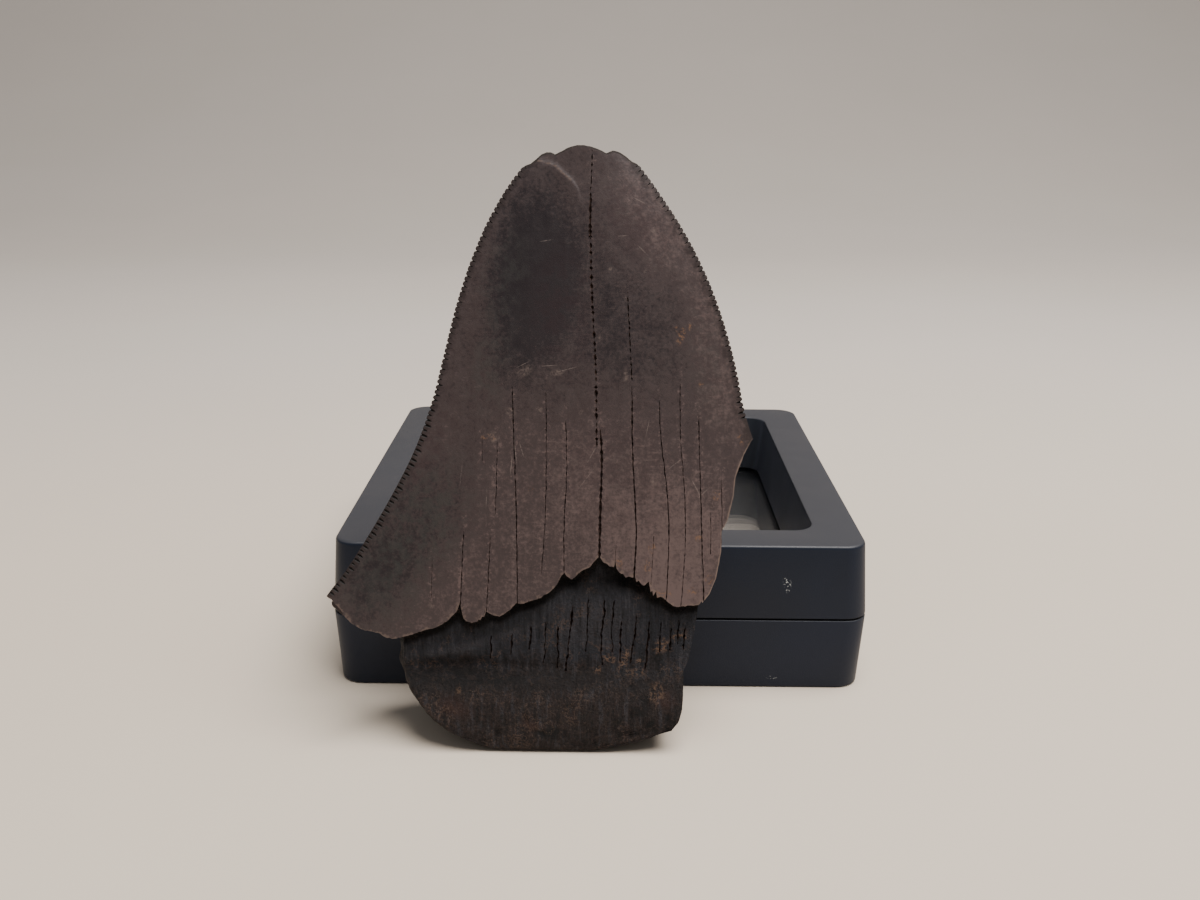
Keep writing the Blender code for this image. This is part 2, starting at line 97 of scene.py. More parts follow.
# Tooth outlines, as (height up the face, place across it)
LEFT_CUTTING_EDGE = (
    (10.0, -36.5), (18.4, -32.5), (21.0, -30.5), (25.8, -27.4), (31.0, -24.4), (36.0, -21.9),
    (41.3, -20.0), (47.1, -18.5), (53.0, -17.0), (58.4, -15.2), (63.7, -12.8), (68.3, -9.8),
    (72.0, -6.3), (76.0, -2.6),
)
RIGHT_CUTTING_EDGE = (
    (10.0, 33.5), (18.4, 29.4), (23.4, 25.7), (31.0, 21.1), (37.9, 17.7), (40.4, 16.9),
    (45.5, 15.8), (50.8, 14.3), (56.3, 12.2), (61.3, 9.6), (65.7, 6.7), (69.4, 3.9),
    (72.0, 1.6), (76.0, -1.6),
)
ROOT_LEFT = (
    (0.15, -12.5), (0.5, -14.2), (1.1, -15.8), (2.0, -17.9), (3.4, -20.0), (4.9, -21.5),
    (6.7, -22.8), (8.5, -23.8), (10.1, -24.5), (11.3, -24.3), (13.5, -24.9), (16.0, -27.2),
    (19.0, -28.6), (22.0, -27.0), (31.0, -21.6), (38.0, -18.2),
)
ROOT_RIGHT = (
    (0.15, -1.0), (0.6, 2.4), (1.3, 5.5), (2.2, 8.0), (3.5, 12.0), (5.0, 15.5), (9.0, 20.0),
    (13.5, 22.5), (19.0, 25.0), (22.0, 24.0), (31.0, 18.6), (38.0, 15.2),
)

# Depths behind the face plane, as (height up the face, depth)
CROWN_THICKNESS = (
    (10.0, 12.9), (20.0, 12.2), (30.0, 11.2), (40.0, 10.0), (50.0, 8.4), (60.0, 6.3),
    (67.0, 4.7), (71.0, 3.8), (76.0, 2.6),
)
ROOT_FRONT = (
    (0.15, 0.4), (0.5, 0.1), (1.1, -0.1), (3.2, -0.4), (5.5, -0.45), (7.2, -0.2), (8.6, 0.25),
    (10.5, 0.8), (13.0, 1.0), (17.0, 0.85), (38.0, 0.7),
)
ROOT_BACK = (
    (0.15, 0.7), (0.5, 2.1), (1.1, 4.6), (2.0, 7.6), (3.4, 10.2), (5.5, 12.1), (7.5, 12.8),
    (10.0, 13.1), (13.0, 13.1), (16.0, 12.7), (20.0, 12.0), (24.0, 11.4), (38.0, 9.8),
)
CROWN_BULGE = 0.9
CROWN_FULLNESS = 0.9
ENAMEL_THICKNESS = 0.55
ROOT_SIDE_ROUND = 1.3
ROOT_SIDE_THINNING = 0.42
ROOT_COVERED_HEIGHTS = (14.0, 19.0)
ROOT_FOOT_HEIGHTS = (9.6, 8.0)
LEDGE_GROOVE_HEIGHT = 9.7
LEDGE_GROOVE_HALF_HEIGHT = 1.2
LEDGE_GROOVE_DEPTH = 1.0
LEDGE_GROOVE_KEPT = 0.2
LEDGE_GROOVE_FADE = (-14.0, 0.0)
PEAK_HOLLOW = {"across": 0.6, "up": 21.3, "half_width": 5.0, "half_height": 1.9, "depth": 1.1}
TOOTH_AXIS_U = -1.5
ROOT_HALF_SPAN = 27.0

# Lower edge of the enamel on the face and on the back, as (across, up)
FACE_ENAMEL_EDGE = (
    (-38.0, 18.6), (-32.6, 18.6), (-31.8, 18.0), (-31.3, 17.4), (-30.7, 16.8), (-30.2, 16.0),
    (-29.4, 15.2), (-28.5, 14.7), (-27.5, 14.4), (-26.1, 14.1), (-25.3, 13.6), (-24.2, 13.5),
    (-22.4, 14.0), (-20.4, 14.7), (-19.8, 14.8), (-18.9, 15.2), (-17.9, 15.9), (-17.1, 16.7),
    (-16.8, 17.1), (-16.55, 17.9), (-16.3, 16.9), (-16.1, 16.1), (-15.8, 15.75), (-15.1, 15.6),
    (-14.5, 15.65), (-14.3, 16.0), (-14.1, 15.85), (-13.9, 16.3), (-13.65, 16.3), (-13.45, 17.0),
    (-12.8, 16.6), (-11.8, 16.4), (-11.3, 16.7), (-10.5, 17.3), (-9.9, 18.0), (-9.3, 17.9),
    (-8.3, 18.2), (-7.1, 18.6), (-6.0, 19.3), (-5.1, 20.2), (-4.5, 21.4), (-4.2, 21.7), (-3.8, 21.2),
    (-3.3, 20.9), (-2.3, 21.8), (-1.8, 22.1), (-1.1, 22.5), (-0.6, 23.2), (-0.1, 23.7), (0.3, 23.1),
    (0.8, 22.8), (1.2, 22.5), (1.65, 22.4), (1.8, 23.1), (1.95, 22.2), (2.2, 21.9), (2.5, 21.6),
    (2.7, 21.7), (3.0, 21.2), (3.3, 21.3), (3.9, 21.2), (4.1, 21.5), (4.3, 20.7), (4.6, 20.8),
    (4.9, 20.3), (5.3, 20.2), (5.75, 20.8), (5.9, 20.0), (6.0, 19.5), (6.2, 19.6), (6.3, 19.0),
    (6.65, 19.6), (6.75, 18.8), (7.2, 18.9), (7.8, 18.5), (8.6, 17.9), (9.1, 17.7), (9.9, 17.8),
    (10.7, 17.9), (11.4, 17.9), (11.8, 18.0), (12.0, 18.4), (12.2, 18.1), (12.6, 18.3), (13.0, 18.8),
    (30.0, 19.5), (38.0, 18.0),
)
BACK_ENAMEL_EDGE = (
    (-38.0, 18.5), (-32.6, 18.4), (-32.1, 17.9), (-32.0, 17.1), (-31.4, 16.6), (-30.7, 15.9),
    (-29.6, 15.9), (-28.6, 16.0), (-26.5, 16.9), (-22.0, 19.5), (-15.0, 24.8), (-8.5, 30.2),
    (-4.0, 33.0), (-1.5, 33.6), (1.0, 33.0), (6.0, 29.6), (12.0, 24.8), (20.0, 19.5), (30.0, 18.0),
    (38.0, 18.0),
)
ENAMEL_EDGE_STEP = 0.14
ENAMEL_SPLIT_DEPTH = 1.0
ENAMEL_SPLIT_OVERLAP = 0.2
DEEPEST = 25.0
NEAREST = -5.0
LOWEST = -3.0

# Uneven surfaces, as (amount, waves per millimetre across, inwards and up, seed of the noise)
ENAMEL_EDGE_JITTER = ((0.08, (1.3, 1.0, 1.3), 13.0), (0.08, (3.4, 1.0, 3.4), 19.0))
ENAMEL_RELIEF = (
    (0.020, (0.75, 0.5, 0.05), 3.0), (0.030, (0.22, 0.2, 0.12), 11.0), (0.007, (2.2, 1.0, 0.35), 7.0),
)
ENAMEL_RELIEF_MIDDLE = 0.045
ENAMEL_RELIEF_FADE = 1.5
SIDE_BREAK_GRAIN = ((0.35, (1.0, 0.9, 0.7), 2.0), (0.2, (2.0, 2.2, 1.3), 9.0))
SIDE_BREAK_JITTER = (0.05, (1.5, 0.0, 1.5), 23.0)
TIP_BREAK_JITTER = (0.05, (1.6, 1.6, 0.0), 6.0)

# Relief of the root: the depth of each form on the neck and on the foot
ROOT_RELIEF_DEPTHS = {
    "fibres": (0.17, 0.09),
    "fine_fibres": (0.09, 0.09),
    "lumps": (0.34, 0.34),
    "swells": (0.07, 0.0),
    "pits": (0.10, 0.20),
    "crumbs": (0.06, 0.18),
}
ROOT_RELIEF_MIDDLE = 0.27
ROOT_PIT_LEVELS = (0.2, 0.75)
ROOT_SWELLS_PER_MM = 2.0
ROOT_SWELL_SLOPE = 0.18
ROOT_SWELL_FADE = (-5.0, -14.0)
ROOT_BOTTOM_FADE = (0.1, 1.2)
ROOT_TOP_FADE = (36.0, 33.0)

# Ragged hollow under the enamel's edge on the face, which reaches further down below its peak
UNDERCUT_DEPTH = 0.45
UNDERCUT_WHOLE_WITHIN = 0.35
UNDERCUT_REACH = 0.9
UNDERCUT_EXTRA_REACH = 0.5
UNDERCUT_EXTRA_SHARE = 0.55
UNDERCUT_PEAK_SHARE = 0.5
UNDERCUT_RAGGEDNESS = (0.45, (1.1, 0.0, 0.5), 51.0)
UNDERCUT_PEAK_ACROSS = 0.8
UNDERCUT_PEAK_FADE = (6.5, 3.5)
UNDERCUT_FACE_DEPTHS = (4.0, 2.5)

# Break down the right side and across the tip, as (across, up)
SIDE_BREAK = (
    (20.0, 38.6), (17.7, 37.5), (16.8, 35.8), (15.8, 33.1), (15.6, 30.8), (15.0, 28.1),
    (14.3, 26.8), (14.3, 24.7), (13.7, 21.1), (12.9, 19.2), (11.8, 17.8), (11.3, 14.1),
    (10.8, 11.5), (10.1, 9.9), (10.0, 7.5), (9.9, 5.4), (9.4, 3.8), (8.0, 2.0), (7.4, -3.0),
)
SIDE_BREAK_OUTSIDE = 45.0
SIDE_BREAK_SLANT = 0.12
SIDE_BREAK_ROUGHNESS = 0.4
SIDE_BREAK_FADE_IN = 2.5
# Its broad waves, as (height, radians per millimetre up and inwards)
SIDE_BREAK_WAVES = ((1.0, 0.55, 0.5), (0.5, 1.7, -0.9))
TIP_BREAK = (
    (-11.0, 68.6), (-8.4, 69.3), (-7.8, 69.8), (-7.2, 70.35), (-6.6, 70.6), (-6.1, 70.55), (-5.6, 70.3),
    (-5.0, 70.6), (-4.3, 70.95), (-3.7, 71.2), (-3.0, 71.35), (-2.3, 71.35), (-1.6, 71.2), (-0.9, 71.0),
    (-0.2, 70.75), (0.3, 70.45), (0.7, 70.65), (1.0, 70.8), (1.5, 70.75), (1.9, 70.6), (2.6, 70.15),
    (3.3, 69.6), (6.0, 68.6),
)
TIP_BREAK_FALL = (
    (-4.0, -0.6), (0.0, -0.3), (0.25, -0.08), (0.6, 0.0), (1.5, -0.1), (3.0, -0.7), (5.0, -1.6),
    (9.0, -3.0),
)
TIP_BREAK_TOP = 80.0

# Chip beside the tip: its ridge on the face, as (across, up), and how it runs out on its far sides
TIP_RIDGE = (
    (-9.4, 69.3), (-7.8, 69.6), (-6.6, 69.3), (-5.5, 68.9), (-4.7, 68.1), (-3.7, 67.3), (-3.1, 66.4),
    (-2.7, 65.0),
)
TIP_RIDGE_VISIBLE = TIP_RIDGE[1:6]
CHIP_DEPTH = 0.14
CHIP_WALL = 0.28
CHIP_SIDE_FADE = (-3.4, 3.0)
CHIP_LOW_FADE = (64.0, 68.4)
CHIP_EDGE_FADE = (0.0, 0.3)

# Serrations of the two cutting edges
SERRATION_PITCH = 0.62
SERRATION_CLEARANCE = 0.1
# Shape of one notch from its mouth inwards: distance from the edge, half width, depth
NOTCH_ON_THE_TIP = (
    (-0.3, 0.24, 0.6), (-0.04, 0.19, 0.5), (0.07, 0.10, 0.4), (0.19, 0.06, 0.25), (0.6, 0.03, 0.04),
)
NOTCH_ON_THE_WING = (
    (0.04, 0.10, 0.06), (0.15, 0.16, 0.18), (0.35, 0.17, 0.20), (0.58, 0.14, 0.14), (0.74, 0.05, 0.03),
)
# How the notches differ in size from one to the next, as (share, radians per notch)
NOTCH_SIZE_WAVES = ((0.22, 2.4), (0.1, 0.9))
WING_SERRATIONS_BELOW = (36.0, 48.0)
LEFT_SERRATED_HEIGHTS = (19.0, 69.4)
RIGHT_SERRATED_HEIGHTS = (40.2, 69.2)

# Drying cracks of the face: half width, bead share, and the path from bottom to top (across, up)
CRACKS = (
    (0.22, 0.75, ((-0.5, 36.2), (-0.6, 41.4), (-0.7, 45.4), (-1.2, 54.0), (-1.4, 59.8), (-1.5, 62.4))),
    (0.24, 0.45, ((-1.45, 60.8), (-1.5, 63.5), (-1.4, 67.2))),
    (0.12, 0.75, ((-1.45, 66.0), (-1.35, 68.5), (-1.3, 71.6))),
    (0.20, 0.35, ((-0.1, 22.5), (0.0, 30.6), (0.1, 34.3), (-0.2, 40.3))),
    (0.12, 0.35, ((4.0, 20.6), (4.2, 27.1), (4.0, 30.7), (3.7, 35.9), (3.5, 45.5))),
    (0.11, 0.75, ((3.5, 44.4), (3.3, 48.0), (3.1, 51.1), (2.8, 56.3))),
    (0.08, 0.3, ((7.8, 17.6), (8.0, 22.5), (7.9, 30.1), (7.4, 34.4), (7.0, 37.5), (6.7, 43.4))),
    (0.07, 0.5, ((9.6, 17.4), (10.0, 26.3), (9.9, 30.1), (9.3, 37.5), (9.1, 46.3))),
    (0.09, 0.4, ((12.3, 17.8), (11.9, 27.1), (11.7, 32.3), (11.4, 38.9), (11.4, 42.2))),
    (0.06, 0.3, ((14.3, 24.5), (14.3, 27.5), (14.1, 34.2))),
    (0.05, 0.5, ((6.0, 20.4), (6.1, 21.7), (6.3, 28.0))),
    (0.05, 0.5, ((13.0, 24.0), (13.0, 26.3), (12.9, 30.1))),
    (0.04, 0.5, ((1.7, 22.4), (1.9, 25.5))),
    (0.08, 0.5, ((-4.2, 20.9), (-4.3, 26.3), (-4.0, 33.6), (-4.2, 41.5))),
    (0.06, 0.5, ((-6.9, 21.6), (-6.5, 27.7), (-6.4, 35.8), (-6.5, 44.8))),
    (0.10, 0.4, ((-9.7, 17.4), (-9.9, 29.1), (-10.2, 37.3), (-10.5, 45.4))),
    (0.08, 0.5, ((-13.4, 16.2), (-13.1, 22.5), (-12.85, 27.6))),
    (0.06, 0.5, ((-12.35, 28.6), (-12.2, 34.0), (-12.1, 38.7))),
    (0.08, 0.5, ((-16.5, 16.8), (-16.2, 23.9), (-16.0, 28.4))),
    (0.04, 0.5, ((-13.9, 34.8), (-13.9, 38.4))),
    (0.04, 0.5, ((-19.9, 18.4), (-19.8, 24.3))),
)
BACK_CRACKS = (
    (0.10, 0.4, ((-1.2, 33.4), (-1.0, 45.0), (-1.4, 62.0))),
    (0.08, 0.4, ((3.6, 31.0), (3.1, 42.0), (2.2, 54.0))),
    (0.07, 0.5, ((8.4, 27.4), (7.4, 38.0), (6.5, 47.0))),
    (0.07, 0.5, ((12.4, 24.0), (11.5, 36.0), (11.0, 41.0))),
    (0.08, 0.4, ((-6.3, 31.0), (-5.9, 43.0), (-5.6, 56.0))),
    (0.07, 0.5, ((-10.6, 28.0), (-10.2, 40.0), (-10.4, 48.0))),
    (0.06, 0.5, ((-15.9, 23.6), (-14.6, 36.0))),
    (0.06, 0.5, ((-20.8, 20.0), (-19.2, 30.0))),
)
CRACK_STEP = 0.22
CRACK_CLEARANCE = 0.3
CRACK_DEPTH = 0.4
CRACK_TAPER = 3.0
CRACK_WANDER = 0.06
CRACK_BEAD_PITCH = 0.85
CREVICE_CLOSED = -0.25
CREVICE_BEAD_WAIST = 1.25
CREVICE_END_CLOSING = 1.3
# Unevenness along a crevice, as (share, waves per millimetre, seed): of its path, beads and width
CREVICE_BENDS = ((1.0, (0.3, 1.0, 0.8), 4.0), (0.4, (0.3, 1.0, 3.0), 6.0))
CREVICE_BEAD_SHIFT = (0.5, (0.5, 1.0, 1.1), 8.0)
CREVICE_RAGGEDNESS = ((0.5, (1.0, 1.0, 1.6), 15.0), (0.3, (1.0, 1.0, 0.35), 25.0))

# Fissures of the root's face: half width and the path from bottom to top (across, up)
ROOT_FISSURES = (
    (0.13, ((-13.0, 11.0), (-12.8, 14.6))), (0.13, ((-10.6, 11.5), (-10.3, 14.8))),
    (0.16, ((-8.4, 12.2), (-8.0, 15.9))), (0.11, ((-6.6, 10.5), (-6.3, 16.9))),
    (0.16, ((-5.0, 9.9), (-4.9, 12.6), (-5.1, 16.5))),
    (0.18, ((-4.0, 9.6), (-3.6, 13.5), (-3.0, 19.2))), (0.11, ((-1.6, 12.0), (-1.2, 20.6))),
    (0.16, ((0.4, 10.4), (0.2, 12.8), (0.5, 16.2), (0.4, 20.4))),
    (0.18, ((2.5, 10.8), (2.5, 13.6), (2.8, 17.4))), (0.11, ((1.5, 12.0), (1.6, 20.0))),
    (0.16, ((3.7, 10.6), (4.1, 13.6), (4.6, 17.8))), (0.19, ((5.5, 9.9), (5.8, 13.8), (6.0, 17.6))),
    (0.11, ((7.2, 12.0), (7.3, 16.8))), (0.13, ((8.4, 12.2), (8.6, 15.9))),
    (0.15, ((10.0, 12.4), (10.3, 15.9))), (0.11, ((9.3, 13.0), (9.5, 17.0))),
)
FISSURE_DEPTH = 0.7
FISSURE_WANDER = 0.20
FISSURE_BEADS = 0.45


def curve_at(points, at):
    """Values at many places on the smooth curve through (place, value) points."""
    places, values = np.array(points).T
    slopes = np.gradient(values, places)
    at = np.clip(at, places[0], places[-1])
    left = np.clip(np.searchsorted(places, at, side="right") - 1, 0, len(places) - 2)
    span = places[left + 1] - places[left]
    s = (at - places[left]) / span
    start = (1 + 2 * s) * (1 - s) ** 2 * values[left] + s * (1 - s) ** 2 * span * slopes[left]
    end = s * s * (3 - 2 * s) * values[left + 1] + s * s * (s - 1) * span * slopes[left + 1]
    return start + end


def eased(value, low, high):
    """0 below low and 1 above high, with a smooth step between them."""
    share = np.clip((value - low) / (high - low), 0.0, 1.0)
    return share * share * (3 - 2 * share)


def noise_at(places, stretch, seed):
    """Smooth noise, about -1 to 1, at each place after it is stretched along the axes."""
    stretched = (places.reshape(-1, 3) * stretch + seed).tolist()
    return np.array([noise.noise(place) for place in stretched]).reshape(places.shape[:-1])


def jitter_at(places, amount, stretch, seed):
    """Smooth noise of an amount, about to either side of 0."""
    return amount * noise_at(places, stretch, seed)


def hollows_at(places, stretch, seed):
    """Smooth noise as hollows, from about 0 on its lumps to 1 in its pits."""
    return 0.5 - 0.5 * noise_at(places, stretch, seed)


def distance_to_path(across, height, path):
    """Shortest distance, in the face plane, from each place to a path of (across, up) points."""
    nearest = np.full(np.shape(across), np.inf)
    for (u0, w0), (u1, w1) in zip(path, path[1:]):
        run, rise = u1 - u0, w1 - w0
        share = ((across - u0) * run + (height - w0) * rise) / (run * run + rise * rise)
        share = np.clip(share, 0.0, 1.0)
        away = np.hypot(across - u0 - share * run, height - w0 - share * rise)
        nearest = np.minimum(nearest, away)
    return nearest


def crown_span(height):
    """Middle and half width of the unbroken crown at a height."""
    left = curve_at(LEFT_CUTTING_EDGE, height)
    right = curve_at(RIGHT_CUTTING_EDGE, height)
    return (left + right) / 2, (right - left) / 2


def crown_roundness(across, height):
    """1 on the crown's middle line, 0 on its cutting edges."""
    middle, half = crown_span(height)
    return np.maximum(0.0, 1.0 - ((across - middle) / half) ** 2)


def tip_chip(across, height):
    """Depth of the chip beside the tip: a wall behind its ridge, running out to the right and below."""
    ridge_across, ridge_height = np.array(TIP_RIDGE).T
    beyond = height > np.interp(across, ridge_across, ridge_height)
    wall = eased(np.where(beyond, distance_to_path(across, height, TIP_RIDGE), 0.0), 0.0, CHIP_WALL)
    kept = (1.0 - eased(across, *CHIP_SIDE_FADE)) * eased(height, *CHIP_LOW_FADE)
    return CHIP_DEPTH * wall * kept * eased(crown_roundness(across, height), *CHIP_EDGE_FADE)


def crown_front(across, height):
    return tip_chip(across, height) - CROWN_BULGE * crown_roundness(across, height)


def crown_back(across, height):
    thickness = curve_at(CROWN_THICKNESS, height)
    return thickness * crown_roundness(across, height) ** CROWN_FULLNESS


def ledge_groove(across, height):
    """Hollow that runs along the neck above the ledge and fades to the tooth's right."""
    faded = np.clip((across - LEDGE_GROOVE_FADE[0]) / np.ptp(LEDGE_GROOVE_FADE), 0.0, 1.0)
    rise = (height - LEDGE_GROOVE_HEIGHT) / LEDGE_GROOVE_HALF_HEIGHT
    return LEDGE_GROOVE_DEPTH * (1.0 - (1.0 - LEDGE_GROOVE_KEPT) * faded) * np.exp(-(rise**2))


def peak_hollow(across, height):
    """Cavity in the root under the peak of the enamel edge."""
    sideways = (across - PEAK_HOLLOW["across"]) / PEAK_HOLLOW["half_width"]
    upwards = (height - PEAK_HOLLOW["up"]) / PEAK_HOLLOW["half_height"]
    return PEAK_HOLLOW["depth"] * np.exp(-(sideways**2) - upwards**2)


def root_front(across, height):
    """Neck, ledge and foot of the root, set back under the enamel higher up."""
    set_back = curve_at(ROOT_FRONT, height) + ledge_groove(across, height)
    return crown_front(across, height) + set_back + peak_hollow(across, height)


def root_back(across, height):
    """Bulge behind the root, kept under the enamel where the crown covers it."""
    side = np.minimum(1.0, np.abs(across - TOOTH_AXIS_U) / ROOT_HALF_SPAN)
    bulge = curve_at(ROOT_BACK, height) * (1.0 - ROOT_SIDE_THINNING * side**2)
    under_enamel = crown_back(across, height) - ENAMEL_THICKNESS
    covered = np.clip((height - ROOT_COVERED_HEIGHTS[0]) / np.ptp(ROOT_COVERED_HEIGHTS), 0.0, 1.0)
    return bulge + (np.minimum(bulge, under_enamel) - bulge) * covered


# ---------------------------------------------------------------- mesh helpers

# Materials of the tooth, in the order of their slots
TOOTH_MATERIALS = ("enamel", "root", "fracture", "crevice", "notch")
ENAMEL, ROOT, FRACTURE, CREVICE, NOTCH = range(len(TOOTH_MATERIALS))
MERGE_DISTANCE = 1e-8


def tube_faces(rows, count, offset=0, closed=False):
    """Faces round rows of points: capped at both ends, or joined end to end."""
    low = (np.arange(rows if closed else rows - 1) * count)[:, None] + np.arange(count)
    beside = low - np.arange(count) + (np.arange(count) + 1) % count
    above = (low + count) % (rows * count)
    above_beside = (beside + count) % (rows * count)
    faces = (np.stack([low, beside, above_beside, above], axis=-1) + offset).reshape(-1, 4).tolist()
    if not closed:
        faces.append(list(range(offset, offset + count))[::-1])
        faces.append(list(range(offset + (rows - 1) * count, offset + rows * count)))
    return faces


def solid(name, tubes, material_index=ENAMEL, closed=False):
    """Object made of one or more tubes of points, given as arrays of rows, points and axes."""
    points, faces = [], []
    for tube in tubes:
        rows, count, _ = tube.shape
        faces += tube_faces(rows, count, sum(map(len, points)), closed)
        points.append(tube.reshape(-1, 3))
    mesh = bpy.data.meshes.new(name)
    mesh.from_pydata((np.concatenate(points) * MM).tolist(), [], faces)
    turned = bmesh.new()
    turned.from_mesh(mesh)
    bmesh.ops.recalc_face_normals(turned, faces=turned.faces)
    turned.to_mesh(mesh)
    turned.free()
    made = bpy.data.objects.new(name, mesh)
    bpy.context.scene.collection.objects.link(made)
    for slot in TOOTH_MATERIALS:
        mesh.materials.append(bpy.data.materials.get(slot) or bpy.data.materials.new(slot))
    mesh.polygons.foreach_set("material_index", [material_index] * len(mesh.polygons))
    return made


def cut(target, cutter, operation="DIFFERENCE"):
    boolean = target.modifiers.new(cutter.name, "BOOLEAN")
    boolean.operation = operation
    boolean.solver = "MANIFOLD"
    boolean.object = cutter


def carved(target):
    """Apply the Boolean steps of a piece and remove the solids that they used."""
    graph = bpy.context.evaluated_depsgraph_get()
    mesh = bpy.data.meshes.new_from_object(target.evaluated_get(graph))
    used = [modifier.object for modifier in target.modifiers]
    for helper in list(used):
        used += [modifier.object for modifier in helper.modifiers]
    target.modifiers.clear()
    target.data = mesh
    for helper in used:
        bpy.data.objects.remove(helper, do_unlink=True)
    return target


def without_fins(mesh):
    """Remove the tiny back-to-back faces that Boolean steps can leave standing on an edge."""
    edited = bmesh.new()
    edited.from_mesh(mesh)
    bmesh.ops.triangulate(edited, faces=edited.faces)
    alike = {}
    for face in edited.faces:
        alike.setdefault(frozenset(tuple(vert.co) for vert in face.verts), []).append(face)
    fins = [face for faces in alike.values() if len(faces) > 1 for face in faces]
    bmesh.ops.delete(edited, geom=fins, context="FACES")
    bmesh.ops.remove_doubles(edited, verts=edited.verts, dist=MERGE_DISTANCE)
    edited.to_mesh(mesh)
    edited.free()


def fanned_ends(mesh):
    """Divide the many-sided faces of a mesh into triangles about their centres."""
    edited = bmesh.new()
    edited.from_mesh(mesh)
    bmesh.ops.poke(edited, faces=[face for face in edited.faces if len(face.verts) > 4])
    edited.to_mesh(mesh)
    edited.free()


def points_of(mesh):
    places = np.empty(len(mesh.vertices) * 3, np.float32)
    mesh.vertices.foreach_get("co", places)
    return places.reshape(-1, 3).astype(float)


def resampled(path, step):
    """Points at even distances along a path of straight runs."""
    path = np.array(path)
    along = np.concatenate([[0.0], np.cumsum(np.linalg.norm(np.diff(path, axis=0), axis=1))])
    at = np.linspace(0.0, along[-1], max(2, round(along[-1] / step) + 1))
    return np.stack([np.interp(at, along, path[:, axis]) for axis in range(2)], axis=-1)


def outward_moved(rings, amount):
    """Rings of a closed tube with each point moved along the surface's own outward direction."""
    along_ring = np.roll(rings, -1, axis=1) - np.roll(rings, 1, axis=1)
    up_rows = np.gradient(rings, axis=0)
    outward = np.cross(along_ring, up_rows)
    outward /= np.linalg.norm(outward, axis=-1, keepdims=True) + TINY
    return rings + outward * amount[..., None]


# ---------------------------------------------------------------- tooth

CROWN_ROW_STEP = 0.3
CROWN_LOW, CROWN_HIGH = 11.0, 75.5
CROWN_FRONT_COLUMNS = 200
CROWN_BACK_COLUMNS = 90
CROWN_INNER_SHARE = 0.975
EDGE_COLUMNS = (0.986, 0.995, 1.0)
ROOT_ROWS = np.concatenate([
    [0.15, 0.3, 0.5, 0.75], np.arange(1.0, 24.0, 0.27), np.arange(24.0, 35.0, 0.45), [36.0, 38.0],
])
ROOT_FRONT_COLUMNS = 180
ROOT_BACK_COLUMNS = 90
ROOT_SIDE_COLUMNS = 14
SIDE_BREAK_STEP = 0.35
SIDE_BREAK_DEPTHS = np.concatenate([[-5.0], np.arange(-1.2, 14.0, SIDE_BREAK_STEP), [18.0]])
TIP_BREAK_STEP = 0.15
TIP_BREAK_DEPTHS = np.concatenate([
    [-5.0], np.arange(-1.2, 1.6, 0.12), np.arange(1.6, 5.0, 0.3), [8.0],
])
EDGE_SAMPLES = 400
TOOTH_SHARP_ANGLE = 38.0
BOX_CLEARANCE = 1e-6

# How far the marks on the tooth reach, and the depth at which its back begins for them
MARK_REACH = 4.0
BACK_BEGINS = 2.0
RIM_INWARD_SHARE = 0.5


def crown_relief(places):
    """Low flutes and dents of the enamel, as a depth below its smooth form."""
    return sum((jitter_at(places, *part) for part in ENAMEL_RELIEF), ENAMEL_RELIEF_MIDDLE)


def crown_rings():
    """Rings of the whole crown, as if it weren't broken."""
    height = np.arange(CROWN_LOW, CROWN_HIGH, CROWN_ROW_STEP)[:, None]
    middle, half = crown_span(height)
    columns = []
    for count in (CROWN_FRONT_COLUMNS, CROWN_BACK_COLUMNS):
        inner = np.linspace(-CROWN_INNER_SHARE, CROWN_INNER_SHARE, count)
        columns.append(np.concatenate([-np.array(EDGE_COLUMNS)[::-1], inner, EDGE_COLUMNS]))
    rings = []
    for column, surface, side in ((columns[0], crown_front, 1.0), (columns[1][-2:0:-1], crown_back, -1.0)):
        across = middle + half * column
        up = np.broadcast_to(height, across.shape)
        places = np.stack([across, surface(across, up), up], axis=-1)
        from_edge = half * (1.0 - np.abs(column))
        places[..., 1] += side * crown_relief(places) * eased(from_edge, 0.0, ENAMEL_RELIEF_FADE)
        rings.append(places)
    return np.concatenate(rings, axis=1)


def root_relief(places):
    """Fibres, lumps and pits of the root, as a depth below its smooth form."""
    across, up = places[..., 0], places[..., 2]
    foot = eased(up, *ROOT_FOOT_HEIGHTS)
    rows = np.sin(ROOT_SWELLS_PER_MM * (up - ROOT_SWELL_SLOPE * across))
    forms = {
        "fibres": hollows_at(places, (1.6, 1.6, 0.16), 21.0),
        "fine_fibres": hollows_at(places, (3.1, 3.1, 0.5), 5.0),
        "lumps": hollows_at(places, (0.30, 0.30, 0.20), 31.0),
        "swells": eased(across, *ROOT_SWELL_FADE) * rows,
        "pits": eased(noise_at(places, (0.9, 0.9, 0.6), 17.0), *ROOT_PIT_LEVELS),
        "crumbs": hollows_at(places, (2.1, 2.1, 1.1), 41.0),
    }
    depth = 0.0
    for name, (on_neck, on_foot) in ROOT_RELIEF_DEPTHS.items():
        depth = depth + (on_neck + (on_foot - on_neck) * foot) * forms[name]
    return depth - ROOT_RELIEF_MIDDLE


